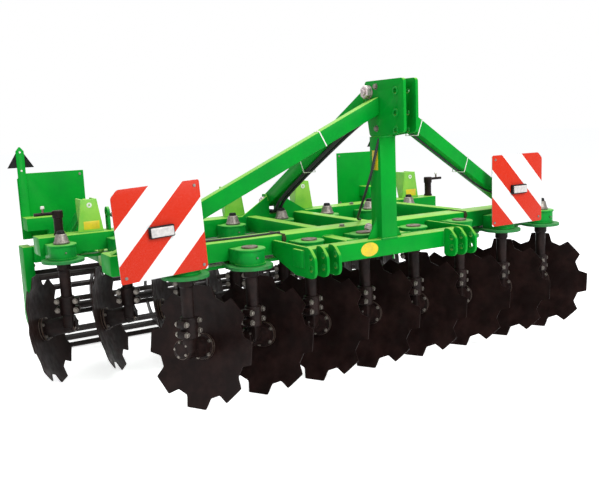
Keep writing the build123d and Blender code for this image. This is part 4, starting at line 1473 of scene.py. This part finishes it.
# ---- Adjusters and hoses -------------------------------------------------------------
@dataclass
class Adjusters:
    """Black screws on the rear beam's ends and the threaded spindle beside the left one."""

    screw: Pair = (1370, 1063)
    base_z: float = 820
    top_z: float = 960
    radius: float = 30
    eye: Point = (-1080, 1075, 925)
    rod_end: Point = (-960, 1075, 838)
    threads: int = 28

    def build(self) -> None:
        """Builds them all."""
        piece = Workpiece("adjusting_screws_finished", slot="adjuster_steel")
        for side in SIDES:
            self.sleeve(piece, side)
        self.spindle(piece)
        piece.done("adjusting_screws")

    def sleeve(self, piece: Workpiece, side: int) -> None:
        """Adds a screw sleeve with its cross bar and knob.

        Args:
            piece: what it is added to.
            side: -1 for the left one, 1 for the right one.
        """
        radius, low, high = self.radius, self.base_z, self.top_z
        neck, (x, y) = radius - 5, self.screw
        sleeve = [
            (radius, low), (radius, low + 12), (neck, low + 14), (neck, high - 44),
            (radius, high - 42), (radius, high - 3), (radius - 3, high),
        ]
        piece.add(turned(sleeve), OIL_BLACK, about(side * x, y))
        bar_z = high - radius / 2
        across = sideways(side, side * x, y, bar_z)
        piece.add(rod(9.5, (-radius + 1, 129), 16), OIL_BLACK, across)
        upright = about(side * (x + 80), y, bar_z)
        piece.add(rod(6, (0, 34), 16), BARE_STEEL, upright)
        knob = [(9, 30), (11, 33), (11, 42), (8, 46), (0, 47)]
        piece.add(turned(knob, 20), WHITE_NYLON, upright)

    def spindle(self, piece: Workpiece) -> None:
        """Adds the threaded rod with its eye and its two seats.

        Args:
            piece: what they are added to.
        """
        x, y, z = self.eye
        eye = [(14, -7.5), (31, -7.5), (31.5, -6), (31.5, 6), (31, 7.5), (14, 7.5)]
        piece.add(turned(eye, ring=True), CAST_GREEN, about(x, y, z) @ ALONG_X)
        seat = block((x - 7.5, x + 7.5), (y - 28, y + 28), (self.base_z, z - 22), 2)
        piece.add(seat, CAST_GREEN)
        place, length = between(self.eye, self.rod_end)
        thread = [(0, 24)]
        for i in range(self.threads):
            height = 24 + i * (length - 28) / self.threads
            thread += [(13.5, height + 0.5), (11.5, height + 2.6)]
        thread.append((0, length - 2))
        piece.add(turned(thread, 20), BARE_STEEL, place)
        x, y, _ = self.rod_end
        foot = block((x - 19, x + 19), (y - 16, y + 16), (self.base_z, 855), 3)
        piece.add(foot, OIL_BLACK)


@dataclass
class Hose:
    """A hose or lamp cable clipped along the frame, both its ends in the machine."""

    name: str
    diameter: float
    length: float
    route: tuple[Point, ...]
    nodes: tuple[str, ...] = ()

    def build(self) -> None:
        """Builds it as a smooth curve along its route."""
        curve = bpy.data.curves.new(self.name, "CURVE")
        curve.dimensions = "3D"
        curve.bevel_depth = self.diameter / 2 * MM
        curve.bevel_resolution = 5
        curve.resolution_u = 16
        curve.use_fill_caps = True
        spline = curve.splines.new("NURBS")
        spline.points.add(len(self.route) - 1)
        for point, (x, y, z) in zip(spline.points, self.route):
            point.co = (x * MM, y * MM + Workpiece.shift, z * MM, 1)
        spline.order_u = 3
        spline.use_endpoint_u = True
        curve.materials.append(HOSE_RUBBER.make())
        piece = bpy.data.objects.new(self.name, curve)
        bpy.context.scene.collection.objects.link(piece)
        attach(piece, "frame")
        if self.nodes:
            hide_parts(*self.nodes)
        log.info("%s on frame", self.name)


# A hydraulic hose's Y and Z: clipped under the stay, from the mast to the rear beam.
STAY_RUN = (
    (-168, 1345), (-110, 1395), (-40, 1422), (880, 931.2), (950, 842), (1010, 830.3),
    (1120, 830.3),
)
# From the mast head under the right brace, then over to the right front lamp.
RIGHT_CABLE = (
    (52, -188, 1395), (107, -176, 1376), (362, -110, 1243), (668, -31, 1083), (900, 26, 962),
    (1000, 10, 925), (1070, -50, 936), (1090, -87, 950),
)
# From the left strap along the front beam to the left front lamp.
LEFT_CABLE = (
    (-440, 150, 826), (-620, 125, 826), (-900, 155, 826), (-1110, 115, 827), (-1180, 40, 842),
    (-1190, -50, 885), (-1190, -87, 930),
)
# Down the mast's front left edge, past its sticker and back to the front beam.
MAST_RUN = (
    (-46, -222, 1300), (-62, -215, 1240), (-66, -180, 1130), (-62, -120, 1030), (-30, -40, 960),
    (20, 60, 900), (80, 160, 856), (120, 220, 833), (150, 237, 828.5),
)


def hoses() -> list[Hose]:
    """The two hydraulic hoses, the two lamp cables and the hose on the mast.

    Returns:
        The hoses, in the order that they are built in.
    """
    pair = [
        Hose(name, 20, 1.465, tuple((x, y, z) for y, z in STAY_RUN), ("hoses",))
        for name, x in (("hose_left", -16), ("hose_right", 16))
    ]
    return [
        *pair,
        Hose("lamp_cable_right", 11, 1.22, RIGHT_CABLE),
        Hose("lamp_cable_left", 11, 0.92, LEFT_CABLE),
        Hose("mast_hose", 14, 0.76, MAST_RUN),
    ]


# ---- Studio --------------------------------------------------------------------------
@dataclass
class Studio:
    """Floor, world, lights and camera."""

    eye: Point = (-2.391, -4.104, 1.384)
    yaw: float = 31.4
    pitch: float = -9.5
    roll: float = -2.3
    lens: float = 45.47
    shift: Pair = (-0.0160, 0.0023)
    aim: Point = (0.0, 0.0, 0.6)
    lights: tuple[tuple[str, Point, float, float], ...] = (
        ("key", (0.6, -6.4, 4.6), 3.4, 330.0),
        ("side", (-5.4, -2.0, 3.4), 3.0, 45.0),
        ("top", (0.4, 0.6, 5.6), 4.5, 250.0),
    )

    def build(self) -> None:
        """Builds the studio."""
        scene = bpy.context.scene
        scene.view_settings.view_transform = "Standard"
        self.world(scene)
        self.floor()
        for name, place, size, power in self.lights:
            self.light(name, place, size, power)
        self.camera(scene)

    def world(self, scene: bpy.types.Scene) -> None:
        """A plain white surround that lights softly and shows white behind.

        Args:
            scene: the scene that it belongs to.
        """
        scene.world = bpy.data.worlds.new("surround")
        tree = cleared(scene.world)
        soft = add_node(tree, "Background", {"Color": linear("#f2f5fa"), "Strength": 0.36})
        white = add_node(tree, "Background", {"Color": WHITE, "Strength": 1.0})
        mixed = self.by_ray(tree, soft.outputs[0], white.outputs[0])
        add_node(tree, "OutputWorld", {}, {"Surface": mixed})

    @staticmethod
    def by_ray(tree: Tree, lighting: Socket, shown: Socket) -> Socket:
        """Mixes a shader for rays that only light with one for rays that show it.

        Args:
            tree: the tree it is added to.
            lighting: shader for rays that only light.
            shown: shader for camera, glossy and transmission rays.

        Returns:
            The mixed shader.
        """
        path = add_node(tree, "LightPath")
        seen = path.outputs["Is Camera Ray"]
        for kind in ("Is Glossy Ray", "Is Transmission Ray"):
            links = {0: seen, 1: path.outputs[kind]}
            seen = add_node(tree, "Math", {"operation": "MAXIMUM"}, links).outputs["Value"]
        return add_node(tree, "MixShader", {}, {0: seen, 1: lighting, 2: shown}).outputs[0]

    def floor(self) -> None:
        """A plain pale floor that keeps the machine's soft shadow."""
        data = bpy.data.meshes.new("floor")
        shape = bmesh.new()
        bmesh.ops.create_grid(shape, x_segments=1, y_segments=1, size=60.0)
        shape.to_mesh(data)
        shape.free()
        material = bpy.data.materials.new("pale_floor")
        tree = cleared(material)
        paint = add_node(tree, "BsdfDiffuse", {"Color": linear("#f3f3f2")}).outputs[0]
        glow = add_node(tree, "Emission", {"Color": WHITE, "Strength": 0.7}).outputs[0]
        lifted = add_node(tree, "AddShader", {}, {0: paint, 1: glow}).outputs[0]
        add_node(tree, "OutputMaterial", {}, {"Surface": self.by_ray(tree, paint, lifted)})
        data.materials.append(material)
        floor = bpy.data.objects.new("floor", data)
        bpy.context.scene.collection.objects.link(floor)

    def light(self, name: str, place: Point, size: float, power: float) -> None:
        """Adds a square soft light aimed at the machine.

        Args:
            name: of the light.
            place: where it hangs, in metres.
            size: of its side.
            power: in watts.
        """
        data = bpy.data.lights.new(name, "AREA")
        data.shape = "SQUARE"
        data.size = size
        data.energy = power
        light = bpy.data.objects.new(name, data)
        facing = (Vector(self.aim) - Vector(place)).to_track_quat("-Z", "Y")
        light.matrix_world = Matrix.Translation(place) @ facing.to_matrix().to_4x4()
        bpy.context.scene.collection.objects.link(light)

    def camera(self, scene: bpy.types.Scene) -> None:
        """Sets the camera at its place.

        Args:
            scene: the scene that it belongs to.
        """
        data = bpy.data.cameras.new("camera")
        data.lens = self.lens
        data.sensor_width = 36.0
        data.shift_x, data.shift_y = self.shift
        camera = bpy.data.objects.new("camera", data)
        facing = turn(-self.yaw, "Z") @ turn(90.0 + self.pitch, "X") @ turn(self.roll, "Z")
        camera.matrix_world = Matrix.Translation(self.eye) @ facing
        scene.collection.objects.link(camera)
        scene.camera = camera


def main() -> None:
    """Builds the machine on its CAD frame, piece by piece."""
    logging.basicConfig(level=logging.INFO, format="%(message)s")
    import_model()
    Workpiece.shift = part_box("front_beam")[0].y - BEAM_SETBACK * MM
    Studio().build()
    for hose in hoses():
        hose.build()
    FrameWork().build()
    for row in (DiscRow("front", 1, 0.0), DiscRow("rear", -1, 900.0)):
        row.build()
    CageRoller().build()
    SignSet().build()
    Adjusters().build()


if __name__ == "__main__":
    main()
